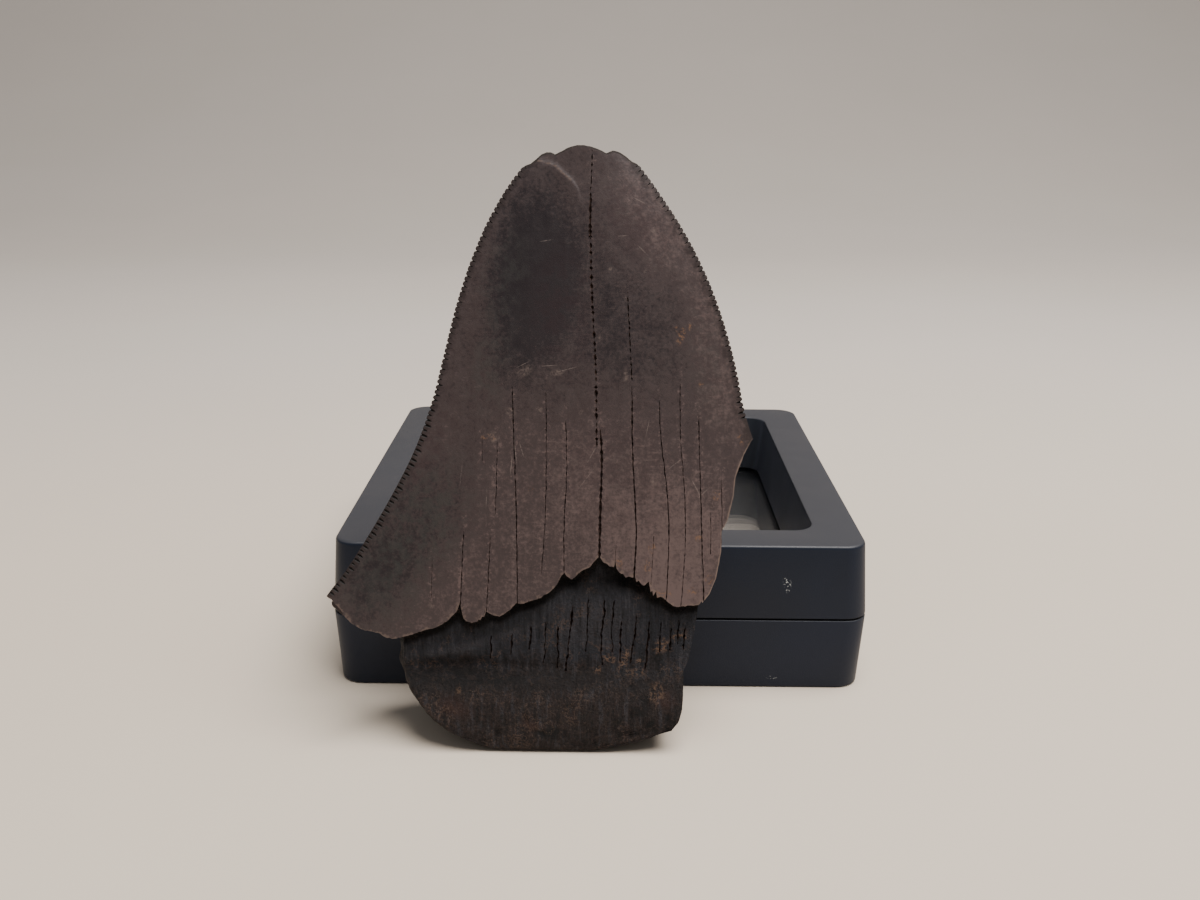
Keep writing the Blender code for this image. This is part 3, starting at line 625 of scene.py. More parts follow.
def undercut(places):
    """Depth of the ragged hollow just under the enamel's edge on the face."""
    across, up = places[..., 0], places[..., 2]
    away = distance_to_path(across, up, FACE_ENAMEL_EDGE)
    under_peak = eased(np.abs(across - UNDERCUT_PEAK_ACROSS), *UNDERCUT_PEAK_FADE)
    ragged = UNDERCUT_EXTRA_SHARE + jitter_at(places, *UNDERCUT_RAGGEDNESS)
    reach = UNDERCUT_REACH + UNDERCUT_EXTRA_REACH * (ragged + UNDERCUT_PEAK_SHARE * under_peak)
    return UNDERCUT_DEPTH * eased(away, reach, UNDERCUT_WHOLE_WITHIN)


def root_rings():
    """Rings of the root, rounded where its front and back meet at the sides."""
    height = ROOT_ROWS[:, None]
    left, right = curve_at(ROOT_LEFT, height), curve_at(ROOT_RIGHT, height)
    turn = np.linspace(0.0, math.pi / 2, ROOT_SIDE_COLUMNS, endpoint=False)
    from_side = ROOT_SIDE_ROUND * (1.0 - np.cos(turn))
    rings = []
    for count, surface in ((ROOT_FRONT_COLUMNS, root_front), (ROOT_BACK_COLUMNS, root_back)):
        share = np.linspace(0.0, 1.0, count)
        inner = left + ROOT_SIDE_ROUND + (right - left - 2 * ROOT_SIDE_ROUND) * share
        across = np.concatenate([left + from_side, inner, (right - from_side)[:, ::-1]], axis=1)
        fullness = np.concatenate([np.sin(turn), np.ones(count), np.sin(turn)[::-1]])
        up = np.broadcast_to(height, across.shape)
        middle = (root_front(across, up) + root_back(across, up)) / 2
        depth = middle + (surface(across, up) - middle) * fullness
        rings.append(np.stack([across, depth, up], axis=-1))
    return np.concatenate([rings[0], rings[1][:, -2:0:-1]], axis=1)


def make_root():
    """The root with its relief, also where the crown covers it."""
    rings = root_rings()
    depth = root_relief(rings) + undercut(rings) * eased(rings[..., 1], *UNDERCUT_FACE_DEPTHS)
    kept = eased(ROOT_ROWS, *ROOT_BOTTOM_FADE) * eased(ROOT_ROWS, *ROOT_TOP_FADE)
    return solid("root_form", [outward_moved(rings, -depth * kept[:, None])], material_index=ROOT)


def below_edge_prism(name, edge, near, far):
    """Block of everything under an enamel edge, between two depths."""
    line = resampled(edge, ENAMEL_EDGE_STEP)
    places = np.stack([line[:, 0], np.zeros(len(line)), line[:, 1]], axis=-1)
    line[:, 1] += sum(jitter_at(places, *part) for part in ENAMEL_EDGE_JITTER)
    outline = np.concatenate([line, [(line[-1, 0], LOWEST), (line[0, 0], LOWEST)]])
    rings = [np.insert(outline, 1, depth, axis=1) for depth in (near, far)]
    return solid(name, [np.stack(rings)])


def break_cutter(name, places, ends):
    """Everything between a broken surface and two lines outside the tooth, given as (across, up)."""
    columns = [places]
    for across, up in ends:
        column = places[:, :1].copy()
        column[..., 0] = across
        column[..., 2] = up
        columns.append(column)
    return solid(name, [np.concatenate(columns, axis=1)], material_index=FRACTURE)


def make_side_break():
    """The lost right side: a rough face that slants in towards the back of the tooth."""
    line = resampled(SIDE_BREAK, SIDE_BREAK_STEP)
    depth = np.broadcast_to(SIDE_BREAK_DEPTHS[:, None], (len(SIDE_BREAK_DEPTHS), len(line)))
    up = np.broadcast_to(line[:, 1], depth.shape)
    places = np.stack([np.broadcast_to(line[:, 0], depth.shape), depth, up], axis=-1)
    inside = np.clip(depth, 0.0, None)
    waves = [high * np.sin(along * up + inward * depth) for high, along, inward in SIDE_BREAK_WAVES]
    fine = sum(jitter_at(places, *part) for part in SIDE_BREAK_GRAIN)
    rough = SIDE_BREAK_ROUGHNESS * (sum(waves) + 1.0) + fine
    rough = rough * np.clip(inside / SIDE_BREAK_FADE_IN, 0.0, 1.0)
    places[..., 0] -= SIDE_BREAK_SLANT * inside + rough + jitter_at(places, *SIDE_BREAK_JITTER)
    ends = [(SIDE_BREAK_OUTSIDE, up) for up in (SIDE_BREAK[-1][1], SIDE_BREAK[0][1])]
    return break_cutter("side_break_cutter", places, ends)


def make_tip_break():
    """The worn tip: its outline on the face, falling away towards the back."""
    line = resampled(TIP_BREAK, TIP_BREAK_STEP)
    depth = np.broadcast_to(TIP_BREAK_DEPTHS[:, None], (len(TIP_BREAK_DEPTHS), len(line)))
    up = line[:, 1] + curve_at(TIP_BREAK_FALL, depth - crown_front(*line.T))
    places = np.stack([np.broadcast_to(line[:, 0], depth.shape), depth, up], axis=-1)
    places[..., 2] += jitter_at(places, *TIP_BREAK_JITTER)
    ends = [(across, TIP_BREAK_TOP) for across in (TIP_BREAK[-1][0], TIP_BREAK[0][0])]
    return break_cutter("tip_break_cutter", places, ends)


def notch(here, direction, inward, size):
    """One notch as a groove that narrows inwards; low on the wing it stops short of the outline."""
    on_wing = 1.0 - eased(here[1], *WING_SERRATIONS_BELOW)
    stations = (1.0 - on_wing) * np.array(NOTCH_ON_THE_TIP) + on_wing * np.array(NOTCH_ON_THE_WING)
    rings = []
    for inside, half_width, depth in stations * size:
        place = here + inward * inside
        face = float(crown_front(*place))
        half_mouth = direction * half_width * (SERRATION_CLEARANCE + depth) / depth
        ring = [(place + side * half_mouth, -SERRATION_CLEARANCE) for side in (-1, 1)] + [(place, depth)]
        rings.append([np.insert(corner, 1, face + deep) for corner, deep in ring])
    return np.array(rings)


def make_serrations():
    """Notches at even distances along both cutting edges."""
    notches = []
    for edge, heights, turn in (
        (LEFT_CUTTING_EDGE, LEFT_SERRATED_HEIGHTS, 1.0), (RIGHT_CUTTING_EDGE, RIGHT_SERRATED_HEIGHTS, -1.0),
    ):
        up = np.linspace(*heights, EDGE_SAMPLES)
        line = resampled(np.stack([curve_at(edge, up), up], axis=-1), SERRATION_PITCH)
        directions = np.gradient(line, axis=0)
        directions /= np.linalg.norm(directions, axis=1, keepdims=True)
        for index, (here, direction) in enumerate(zip(line, directions)):
            inward = np.array([direction[1], -direction[0]]) * turn
            size = sum((share * math.sin(step * index) for share, step in NOTCH_SIZE_WAVES), 1.0)
            notches.append(notch(here, direction, inward, size))
    return solid("serration_cutter", notches, material_index=NOTCH)


def crevice_blade(path, half_width, beads, depth, surface, side, wander=CRACK_WANDER):
    """V-shaped blade along a crevice that follows the surface; it leaves the surface where it is closed."""
    places, values = np.array(path)[:, ::-1].T
    length = float(np.ptp(places))
    up = np.linspace(places[0], places[-1], max(4, round(length / CRACK_STEP)))
    across = curve_at(list(zip(places, values)), up)
    seeds = np.stack([across, np.zeros(len(up)), up], axis=-1)
    across = across + wander * sum(jitter_at(seeds, *bend) for bend in CREVICE_BENDS)
    bead_turns = (up + jitter_at(seeds, *CREVICE_BEAD_SHIFT)) / CRACK_BEAD_PITCH
    waists = 0.5 - 0.5 * np.sin(2 * math.pi * bead_turns)
    ragged = sum((jitter_at(seeds, *part) for part in CREVICE_RAGGEDNESS), 1.0)
    opening = ragged * (1.0 - beads * CREVICE_BEAD_WAIST * waists)
    closing = 1.0 - eased(places[-1] - up, 0.0, min(CRACK_TAPER, length / 3))
    opening = np.maximum(opening - CREVICE_END_CLOSING * closing, CREVICE_CLOSED)
    face = surface(across, up)
    deep = depth * opening
    mouth = half_width * (CRACK_CLEARANCE + deep) / depth
    rings = [
        (across - mouth, face - side * CRACK_CLEARANCE, up),
        (across + mouth, face - side * CRACK_CLEARANCE, up),
        (across, face + side * deep, up),
    ]
    return np.stack([np.stack(ring, axis=-1) for ring in rings], axis=1)


def make_crevices():
    """All cracks of the crown and fissures of the root."""
    blades = []
    for cracks, surface, side in ((CRACKS, crown_front, 1.0), (BACK_CRACKS, crown_back, -1.0)):
        for half, beads, path in cracks:
            blades.append(crevice_blade(path, half, beads, CRACK_DEPTH, surface, side))
    for half, path in ROOT_FISSURES:
        blade = crevice_blade(path, half, FISSURE_BEADS, FISSURE_DEPTH, root_front, 1.0, FISSURE_WANDER)
        blades.append(blade)
    return solid("crevice_cutter", blades, material_index=CREVICE)


def mark_distances(mesh):
    """Distances that the tooth's materials colour by, and how hollow the root is at each point for its
    painted shade.
    """
    places = points_of(mesh) / MM
    across, depth, up = places.T
    behind = depth > BACK_BEGINS

    def away_from(*paths):
        return np.min([distance_to_path(across, up, path) for path in paths], axis=0)

    cutting_edges = [[(u, w) for w, u in edge] for edge in (LEFT_CUTTING_EDGE, RIGHT_CUTTING_EDGE)]
    inside = np.minimum(depth - crown_front(across, up), crown_back(across, up) - depth)
    inside = np.clip(inside, 0.0, None)
    distances = {
        "crack": np.where(behind, MARK_REACH, away_from(*[path for _, _, path in CRACKS])),
        "lip": np.where(behind, away_from(BACK_ENAMEL_EDGE), away_from(FACE_ENAMEL_EDGE)),
        "margin": away_from(*cutting_edges),
        "broken": np.hypot(away_from(SIDE_BREAK, TIP_BREAK), RIM_INWARD_SHARE * inside),
        "ridge": away_from(TIP_RIDGE_VISIBLE),
    }
    marks = {name: np.minimum(away, MARK_REACH) for name, away in distances.items()}
    # The root's colour is darkened by this depth as painted shade in its hollows.
    marks["hollow"] = root_relief(places)
    for name, values in marks.items():
        attribute = mesh.attributes.new(name, "FLOAT", "POINT")
        attribute.data.foreach_set("value", values.astype(np.float32))


def smooth_shaded(mesh, angle):
    mesh.shade_smooth()
    mesh.set_sharp_from_angle(angle=math.radians(angle))


def make_tooth():
    """The tooth as one solid: root and crown joined, then broken, notched and cracked."""
    crown = solid("crown_form", [crown_rings()])
    cut(crown, below_edge_prism("face_edge_cutter", FACE_ENAMEL_EDGE, NEAREST, ENAMEL_SPLIT_DEPTH))
    split = ENAMEL_SPLIT_DEPTH - ENAMEL_SPLIT_OVERLAP
    cut(crown, below_edge_prism("back_edge_cutter", BACK_ENAMEL_EDGE, split, DEEPEST))
    tooth = make_root()
    cut(tooth, crown, "UNION")
    for cutter in (make_side_break(), make_tip_break(), make_serrations(), make_crevices()):
        cut(tooth, cutter)
    carved(tooth)
    tooth.name = "fossil_tooth"
    mark_distances(tooth.data)
    smooth_shaded(tooth.data, TOOTH_SHARP_ANGLE)
    placing = Matrix.Translation((0.0, TOOTH_FOOT_Y * MM, 0.0)) @ Matrix.Rotation(-TOOTH_LEAN, 4, "X")
    tooth.data.transform(placing)
    kept_inside(tooth.data)
    without_fins(tooth.data)
    return tooth


def kept_inside(mesh):
    """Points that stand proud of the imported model's box by a hair are brought back to it."""
    low, high = np.array(cad_box)
    inside = np.clip(points_of(mesh), low + BOX_CLEARANCE, high - BOX_CLEARANCE)
    mesh.vertices.foreach_set("co", inside.ravel())
    mesh.update()


# ---------------------------------------------------------------- case


def rounded_outline(corners, steps=4):
    """Closed outline through corners given as (half width, height, plan radius, round)."""
    outline = []
    for index, corner in enumerate(corners):
        here, size = np.array(corner[:2]), corner[3]
        ends = []
        for other in (corners[index - 1], corners[(index + 1) % len(corners)]):
            away = np.array(other[:2]) - here
            ends.append(here + away / np.linalg.norm(away) * size)
        for share in np.linspace(0.0, 1.0, steps + 1):
            place = (1 - share) ** 2 * ends[0] + 2 * share * (1 - share) * here + share**2 * ends[1]
            outline.append((*place, corner[2]))
    return outline


def rounded_square(half_width, height, radius, per_corner=9, per_side=2):
    """Points round a square with rounded corners."""
    centre = half_width - radius
    turn = np.linspace(0.0, math.pi / 2, per_corner)
    side = np.linspace(-centre, centre, per_side + 2)[1:-1]
    x = np.concatenate([np.full(per_side, half_width), centre + radius * np.cos(turn)])
    y = np.concatenate([side, centre + radius * np.sin(turn)])
    around = []
    for _ in range(4):
        around.append(np.stack([x, y, np.full(len(x), height)], axis=-1))
        x, y = -y, x
    return np.concatenate(around)


def placed_in_case(mesh, is_lid):
    """Stand a case piece on the table, or turn it over on top of the base."""
    turn = Matrix.Rotation(math.pi if is_lid else 0.0, 4, "X")
    top = CASE_HEIGHT if is_lid else 0.0
    mesh.transform(Matrix.Translation((0.0, CASE_CENTRE_Y * MM, top * MM)) @ turn)


def window_half_width(height):
    taper = (WINDOW_FILM_WIDTH - WINDOW_FACE_WIDTH) / HALF_HEIGHT
    return (WINDOW_FACE_WIDTH + taper * height) / 2


def make_case_half(name, is_lid):
    """One half frame, outer face down, as a rounded section carried round the square."""
    corners = (
        (window_half_width(0.0), 0.0, WINDOW_CORNER_RADIUS, WINDOW_EDGE_ROUND),
        (CASE_FACE_WIDTH / 2, 0.0, CASE_CORNER_RADIUS, RIM_ROUND),
        (CASE_SEAM_WIDTH / 2, HALF_HEIGHT, CASE_CORNER_RADIUS, SEAM_EDGE_ROUND),
        (RECESS_WIDTH / 2, HALF_HEIGHT, RECESS_CORNER_RADIUS, SEAM_EDGE_ROUND),
        (RECESS_WIDTH / 2, RECESS_BOTTOM, RECESS_CORNER_RADIUS, SEAM_EDGE_ROUND),
        (window_half_width(RECESS_BOTTOM), RECESS_BOTTOM, WINDOW_CORNER_RADIUS, SEAM_EDGE_ROUND),
    )
    rings = [rounded_square(*place) for place in rounded_outline(corners)]
    half = solid(name, [np.stack(rings)], closed=True)
    smooth_shaded(half.data, CASE_SHARP_ANGLE)
    placed_in_case(half.data, is_lid)
    return half


def make_film(name, is_lid):
    """Thin clear sheet, held at its border and a little slack across the window."""
    bottom, top = FILM_BOTTOM, FILM_BOTTOM + FILM_THICKNESS
    half_widths = np.linspace(FILM_MIDDLE_HALF_WIDTH, FILM_WIDTH / 2, FILM_RING_COUNT)
    rings = []
    for height, widths in ((bottom, half_widths), (top, half_widths[::-1])):
        for half_width in widths:
            radius = min(FILM_CORNER_RADIUS, half_width * FILM_CORNER_SHARE)
            rings.append(rounded_square(half_width, height, radius, **FILM_RING_POINTS))
    rings = np.stack(rings)
    reach = window_half_width(RECESS_BOTTOM)
    inside = np.clip(1.0 - (rings[..., :2] / reach) ** 2, 0.0, 1.0)
    sag = inside[..., 0] * inside[..., 1]
    ripple = jitter_at(rings, *FILM_RIPPLE) * np.sqrt(sag)
    rings[..., 2] -= FILM_BULGE * sag + ripple
    film = solid(name, [rings])
    fanned_ends(film.data)
    smooth_shaded(film.data, CASE_SHARP_ANGLE)
    placed_in_case(film.data, is_lid)
    return film


# ---------------------------------------------------------------- materials


def tone(red, green, blue):
    """Linear colour from 0 to 255 display values."""
    shares = np.array([red, green, blue]) / 255.0
    return (*np.where(shares <= 0.04045, shares / 12.92, ((shares + 0.055) / 1.055) ** 2.4), 1.0)


class Finish:
    """One material, with short ways to add nodes to it. Its colours are given as display values."""

    def __init__(self, name):
        self.material = bpy.data.materials.get(name) or bpy.data.materials.new(name)
        self.material.use_nodes = True
        self.nodes = self.material.node_tree.nodes
        self.links = self.material.node_tree.links
        self.shader = self.nodes["Principled BSDF"]

    def put(self, socket, value):
        if isinstance(value, bpy.types.NodeSocket):
            self.links.new(value, socket)
        else:
            socket.default_value = tone(*value) if socket.type == "RGBA" else value

    def add(self, kind, values, **settings):
        """Outputs of a new node, given its settings and its inputs by name or place."""
        node = self.nodes.new("ShaderNode" + kind)
        for name, value in settings.items():
            setattr(node, name, value)
        for name, value in values.items():
            self.put(node.inputs[name], value)
        return node.outputs

    def surface(self, **values):
        for name, value in values.items():
            self.put(self.shader.inputs[name.replace("_", " ")], value)

    def place(self, location=(0.0, 0.0, 0.0), rotation=(0.0, 0.0, 0.0)):
        """Place on the piece in millimetres, in axes moved and turned from the frame's."""
        return self.moved(self.add("TexCoord", {})["Object"], location, rotation, (MM, MM, MM))

    def moved(self, place, location, rotation, scale):
        axes = {"Vector": place, "Location": location, "Rotation": rotation, "Scale": scale}
        return self.add("Mapping", axes, vector_type="TEXTURE")["Vector"]

    def axes_of(self, place):
        return self.add("SeparateXYZ", {0: place})

    def attribute(self, name):
        return self.add("Attribute", {}, attribute_name=name)["Fac"]

    def math(self, operation, first, second=0.0, clamp=False):
        return self.add("Math", {0: first, 1: second}, operation=operation, use_clamp=clamp)[0]

    def times(self, first, *others):
        """Product of two or more values."""
        for other in others:
            first = self.math("MULTIPLY", first, other)
        return first

    def total(self, start, parts):
        """Start plus each part's weight times its value."""
        for weight, value in parts:
            start = self.math("ADD", start, self.times(value, weight))
        return start

    def step(self, value, low, high, to_low=0.0, to_high=1.0):
        """Smooth step from to_low at low to to_high at high."""
        values = dict(enumerate((value, low, high, to_low, to_high)))
        return self.add("MapRange", values, interpolation_type="SMOOTHSTEP")["Result"]

    def facing(self, axis, low, high, amount=1.0):
        """Amount where the surface faces along an axis of the frame, by a smooth step."""
        normal = self.add("NewGeometry", {})["Normal"]
        return self.step(self.axes_of(normal)[axis], low, high, 0.0, amount)

    def noise(self, place, frequency, detail=2.0, roughness=0.5, stretch=(1.0, 1.0, 1.0)):
        """Noise about 0.5, with its frequency in waves per millimetre along each axis."""
        scale = tuple(1.0 / (frequency * share) for share in stretch)
        place = self.moved(place, (0.0, 0.0, 0.0), (0.0, 0.0, 0.0), scale)
        look = {"Vector": place, "Scale": 1.0, "Detail": detail, "Roughness": roughness}
        return self.add("TexNoise", look)["Fac"]

    def mix(self, share, first, second):
        return self.add("Mix", {0: share, 6: first, 7: second}, data_type="RGBA")[2]

    def layered(self, tones, shares):
        """Base colour: the first of the tones, with the others over it in order, each by its share."""
        ground, *coats = tones
        colour = tones[ground]
        for coat in coats:
            colour = self.mix(shares[coat], colour, tones[coat])
        self.surface(Base_Color=colour)

    def marks(self, place, ellipses, full):
        """Ellipses (across, up, half length, half width, turn) that rise from 0 at their rims to 1."""
        found = None
        for across, up, half_length, half_width, turn in ellipses:
            scale = (half_width, MARK_HALF_DEPTH, half_length)
            inside = self.moved(place, (across, MARK_DEPTH, up), (0.0, turn, 0.0), scale)
            inside = self.add("VectorMath", {0: inside}, operation="LENGTH")["Value"]
            inside = self.math("SUBTRACT", 1.0, inside, clamp=True)
            found = inside if found is None else self.math("MAXIMUM", found, inside)
        return self.step(found, 0.0, full)

    def zones(self, place, zones):
        """Sum of soft ellipses, each (across, up, half length, half width, turn, weight)."""
        return self.total(0.0, [(weight, self.marks(place, [zone], ZONE_FULL)) for *zone, weight in zones])

    def bump(self, height, depth):
        """Relief of a depth in millimetres."""
        relief = {"Height": height, "Distance": depth * MM, "Strength": 1.0}
        self.surface(Normal=self.add("Bump", relief)["Normal"])


TOOTH_AXES = ((0.0, TOOTH_FOOT_Y * MM, 0.0), (-TOOTH_LEAN, 0.0, 0.0))
MARK_DEPTH = -0.5
MARK_HALF_DEPTH = 3.0
ZONE_FULL = 0.8
ENAMEL_MIDDLE_SHADE = -0.43

# Distances from the case's middle, in millimetres, within which its walls are inner walls
INNER_WALLS_WITHIN = (28.42, 28.30)

# Tones of each material: its ground first, then what lies over it in order
ENAMEL_TONES = {
    "dark": (31, 25, 28), "middle": (57, 47, 47), "light": (87, 72, 70), "green": (43, 44, 42),
    "purple": (54, 39, 41), "lip": (104, 88, 79), "broken": (118, 101, 90), "margin": (34, 26, 25),
    # the ridge tone is a painted highlight
    "ridge": (100, 80, 68), "pale": (104, 91, 85), "rust": (106, 78, 58), "scratch": (112, 100, 95),
}
# Several root tones are painted light: shade in the hollows, under the enamel's edge and on upward faces,
# and a highlight on the neck.
ROOT_TONES = {
    "neck": (30, 31, 37), "foot": (35, 27, 26), "light": (54, 52, 56), "back": (46, 40, 37),
    "pale_fibres": (56, 55, 60), "dark_fibres": (9, 9, 12), "brown": (60, 49, 45), "black": (8, 7, 9),
    "hollows": (9, 8, 9), "pale_grain": (84, 70, 63), "dark_grain": (5, 5, 6), "red": (58, 38, 33),
    "dark_marks_and_groove_shade": (8, 7, 8), "under_enamel": (9, 8, 9), "crust": (104, 80, 63), "veins": (88, 70, 60),
    "shaded_tops": (16, 13, 13),
}
FRACTURE_TONES = {
    "dark": (24, 20, 19), "light": (56, 47, 42), "rim": (104, 88, 76), "grain": (76, 63, 55),
    "shaded_tops": (20, 16, 16),
}
CREVICE_TONES = {"dark": (27, 17, 16), "light": (66, 49, 42)}
# The notches' dark tone is partly their own colour and partly painted shade in the grooves.
NOTCH_TONE_AND_SHADE = (27, 22, 21)
LID_TONES = ((15, 23, 37), (19, 27, 42))
BASE_TONES = ((16, 24, 39), (20, 28, 44))
# Painted light on the window's side walls and painted shade on the far wall that faces the front
INNER_WALL_PAINTED_LIGHT_TONES = ((52, 55, 64), (31, 34, 41))
# The top tone is a painted sheen; dust and scuffs are the case's own marks.
CASE_SHEEN_AND_MARK_TONES = {"top": (52, 53, 58), "dust": (80, 80, 83), "scuffs": (168, 172, 172)}
# The films' grey tint is partly their own and partly painted shade that darkens the case's inside.
FILM_TINT_AND_SHADE = (142, 148, 157)

# Zones of the face, as (across, up, half length, half width, turn, weight)
# These are partly the enamel's own tone, partly painted shade and painted dark reflection.
ENAMEL_TONE_AND_SHADE_ZONES = (
    (-8.2, 56.0, 15.5, 7.2, 0.10, -0.50), (-2.0, 55.0, 14.0, 8.0, 0.0, -0.18),
    (4.0, 50.0, 11.0, 8.0, 0.0, -0.16), (-6.0, 45.0, 9.0, 9.0, 0.0, -0.10),
    (6.8, 62.5, 13.0, 6.0, -0.5, 0.26), (13.5, 47.0, 15.0, 5.0, -0.2, 0.22),
    (-1.0, 33.0, 16.0, 12.0, 0.0, 0.13), (9.0, 23.0, 14.0, 12.0, 0.0, 0.27),
    (-12.0, 18.5, 6.0, 13.0, 0.0, 0.06), (-22.5, 27.0, 13.0, 8.0, 0.55, -0.28),
    (-27.5, 20.0, 9.0, 8.0, 0.4, -0.24), (8.0, 18.5, 3.0, 6.0, 0.0, 0.16),
)
GREEN_ZONES = (
    (-21.0, 27.5, 12.0, 7.5, 0.5, 0.9), (-26.5, 19.5, 8.0, 8.0, 0.3, 0.6),
    (-13.0, 46.0, 8.0, 3.5, 0.2, 0.6), (-11.5, 56.0, 8.0, 4.0, 0.2, 0.6),
    (12.5, 46.0, 10.0, 4.0, -0.2, 0.3),
)
PURPLE_ZONES = (
    (-4.5, 52.0, 12.0, 6.0, 0.0, 0.5), (3.0, 62.0, 8.0, 6.0, -0.3, 0.5),
    (1.0, 34.0, 14.0, 9.0, 0.0, 0.35), (-20.5, 36.0, 9.0, 2.5, 0.5, 0.6),
)

# Marks of the face, as (across, up, half length, half width, turn)
PALE_MARKS = (
    (2.8, 44.9, 1.0, 0.42, 0.0), (-10.6, 40.6, 0.6, 0.9, 0.4), (-12.6, 37.6, 0.9, 1.1, 0.3),
    (0.9, 57.2, 0.35, 0.3, 0.5), (-0.3, 49.2, 0.4, 0.3, 0.0), (4.9, 57.0, 0.35, 0.25, 0.8),
    (-7.2, 40.9, 0.4, 0.6, 0.3), (-2.4, 40.6, 0.5, 0.3, 0.6), (6.3, 32.5, 0.7, 0.5, 0.2),
    (-9.0, 45.4, 1.4, 0.8, 1.2), (-5.2, 45.2, 1.2, 0.5, 1.4), (5.9, 61.6, 0.4, 0.3, 0.6),
    (-19.9, 17.6, 0.5, 0.5, 0.0),
)
RUST_MARKS = (
    (9.2, 49.6, 1.5, 0.6, 0.35), (8.6, 50.3, 0.5, 0.5, 0.0), (10.2, 50.6, 0.5, 0.4, 0.0),
    (11.6, 43.9, 0.5, 0.4, 0.0), (16.3, 37.6, 1.0, 0.4, -0.3), (13.6, 31.0, 0.9, 0.6, 0.1),
    (11.6, 25.9, 0.6, 0.6, 0.7), (6.1, 24.7, 0.9, 0.6, 0.0), (12.9, 21.0, 0.8, 0.6, 0.3),
    (5.6, 22.6, 1.2, 0.6, 0.0), (10.9, 19.6, 0.6, 0.8, 0.0), (7.5, 19.2, 0.7, 1.6, 0.0),
    (2.2, 22.9, 1.0, 0.6, -0.7), (-13.1, 37.6, 0.5, 1.2, 0.0), (-8.2, 31.5, 0.4, 0.4, 0.0),
)
SCRATCHES = (
    (-10.0, 35.8, 1.8, 0.08, -0.12), (-9.3, 36.2, 1.2, 0.07, -0.3), (-10.5, 34.3, 1.4, 0.07, 0.1),
    (-4.0, 45.6, 1.6, 0.06, 1.3), (-6.2, 46.0, 1.4, 0.06, 1.5), (-9.2, 46.1, 1.2, 0.06, 1.1),
    (11.1, 32.0, 1.6, 0.08, -0.5), (12.0, 31.2, 1.1, 0.07, 0.8), (4.1, 65.1, 1.0, 0.07, -1.1),
    (-0.9, 36.0, 2.6, 0.06, 0.5), (-1.6, 33.0, 2.2, 0.06, 0.65), (8.6, 34.6, 1.6, 0.06, 0.9),
    (-13.4, 30.5, 1.6, 0.05, 0.05), (-16.4, 33.2, 1.8, 0.05, 0.1), (5.4, 38.8, 1.4, 0.05, 0.2),
    (4.6, 59.4, 1.0, 0.07, -0.8), (2.2, 61.0, 0.8, 0.06, 1.5), (-6.5, 60.4, 1.0, 0.06, 1.4),
)
ROOT_CRUST_MARKS = (
    (1.2, 11.2, 0.8, 1.2, 0.3), (3.0, 11.2, 2.2, 0.8, 0.3), (4.4, 9.6, 0.6, 1.8, 0.0),
    (4.8, 10.9, 0.5, 0.7, 0.0), (7.4, 12.8, 1.2, 1.6, -0.6), (9.6, 13.9, 0.5, 1.6, 0.0),
    (-0.2, 9.8, 0.7, 0.8, 0.2), (-16.6, 7.6, 1.0, 0.5, 0.4), (6.8, 7.4, 1.6, 1.4, 0.5),
)
ROOT_RED_MARKS = (
    (-8.0, 3.4, 1.0, 1.8, 0.3), (8.0, 6.6, 2.0, 1.6, 0.0), (-17.0, 5.4, 2.0, 3.0, 0.4),
)
ROOT_DARK_MARKS_AND_GROOVE_SHADE = (
    (-5.8, 2.4, 1.1, 2.6, 0.0), (4.5, 5.2, 0.8, 1.6, 0.3), (6.4, 3.4, 1.0, 1.4, 0.5),
    (2.4, 4.0, 0.7, 1.3, 0.2), (8.6, 4.4, 0.9, 0.9, 0.0), (7.0, 11.2, 1.0, 2.6, 1.3),
    # painted shade along the groove above the ledge; the others are dark patches
    (-16.0, 8.9, 1.2, 11.0, 0.0),
)
# Painted highlights on the neck, where the lips of its grooves face the lamp
ROOT_PAINTED_HIGHLIGHTS = (
    (-15.5, 12.6, 0.9, 7.5, -0.28), (-10.0, 14.4, 0.7, 5.0, -0.25), (-1.0, 15.5, 4.5, 8.0, 0.0),
)

# Scuffs on the front of the case, as (x, z, half height, half width, turn)
LID_SCUFFS = ((24.4, 14.0, 0.55, 0.5, 0.0), (24.1, 15.1, 1.0, 0.7, -0.4))
BASE_SCUFFS = ((22.8, 1.5, 0.3, 0.9, 0.0),)


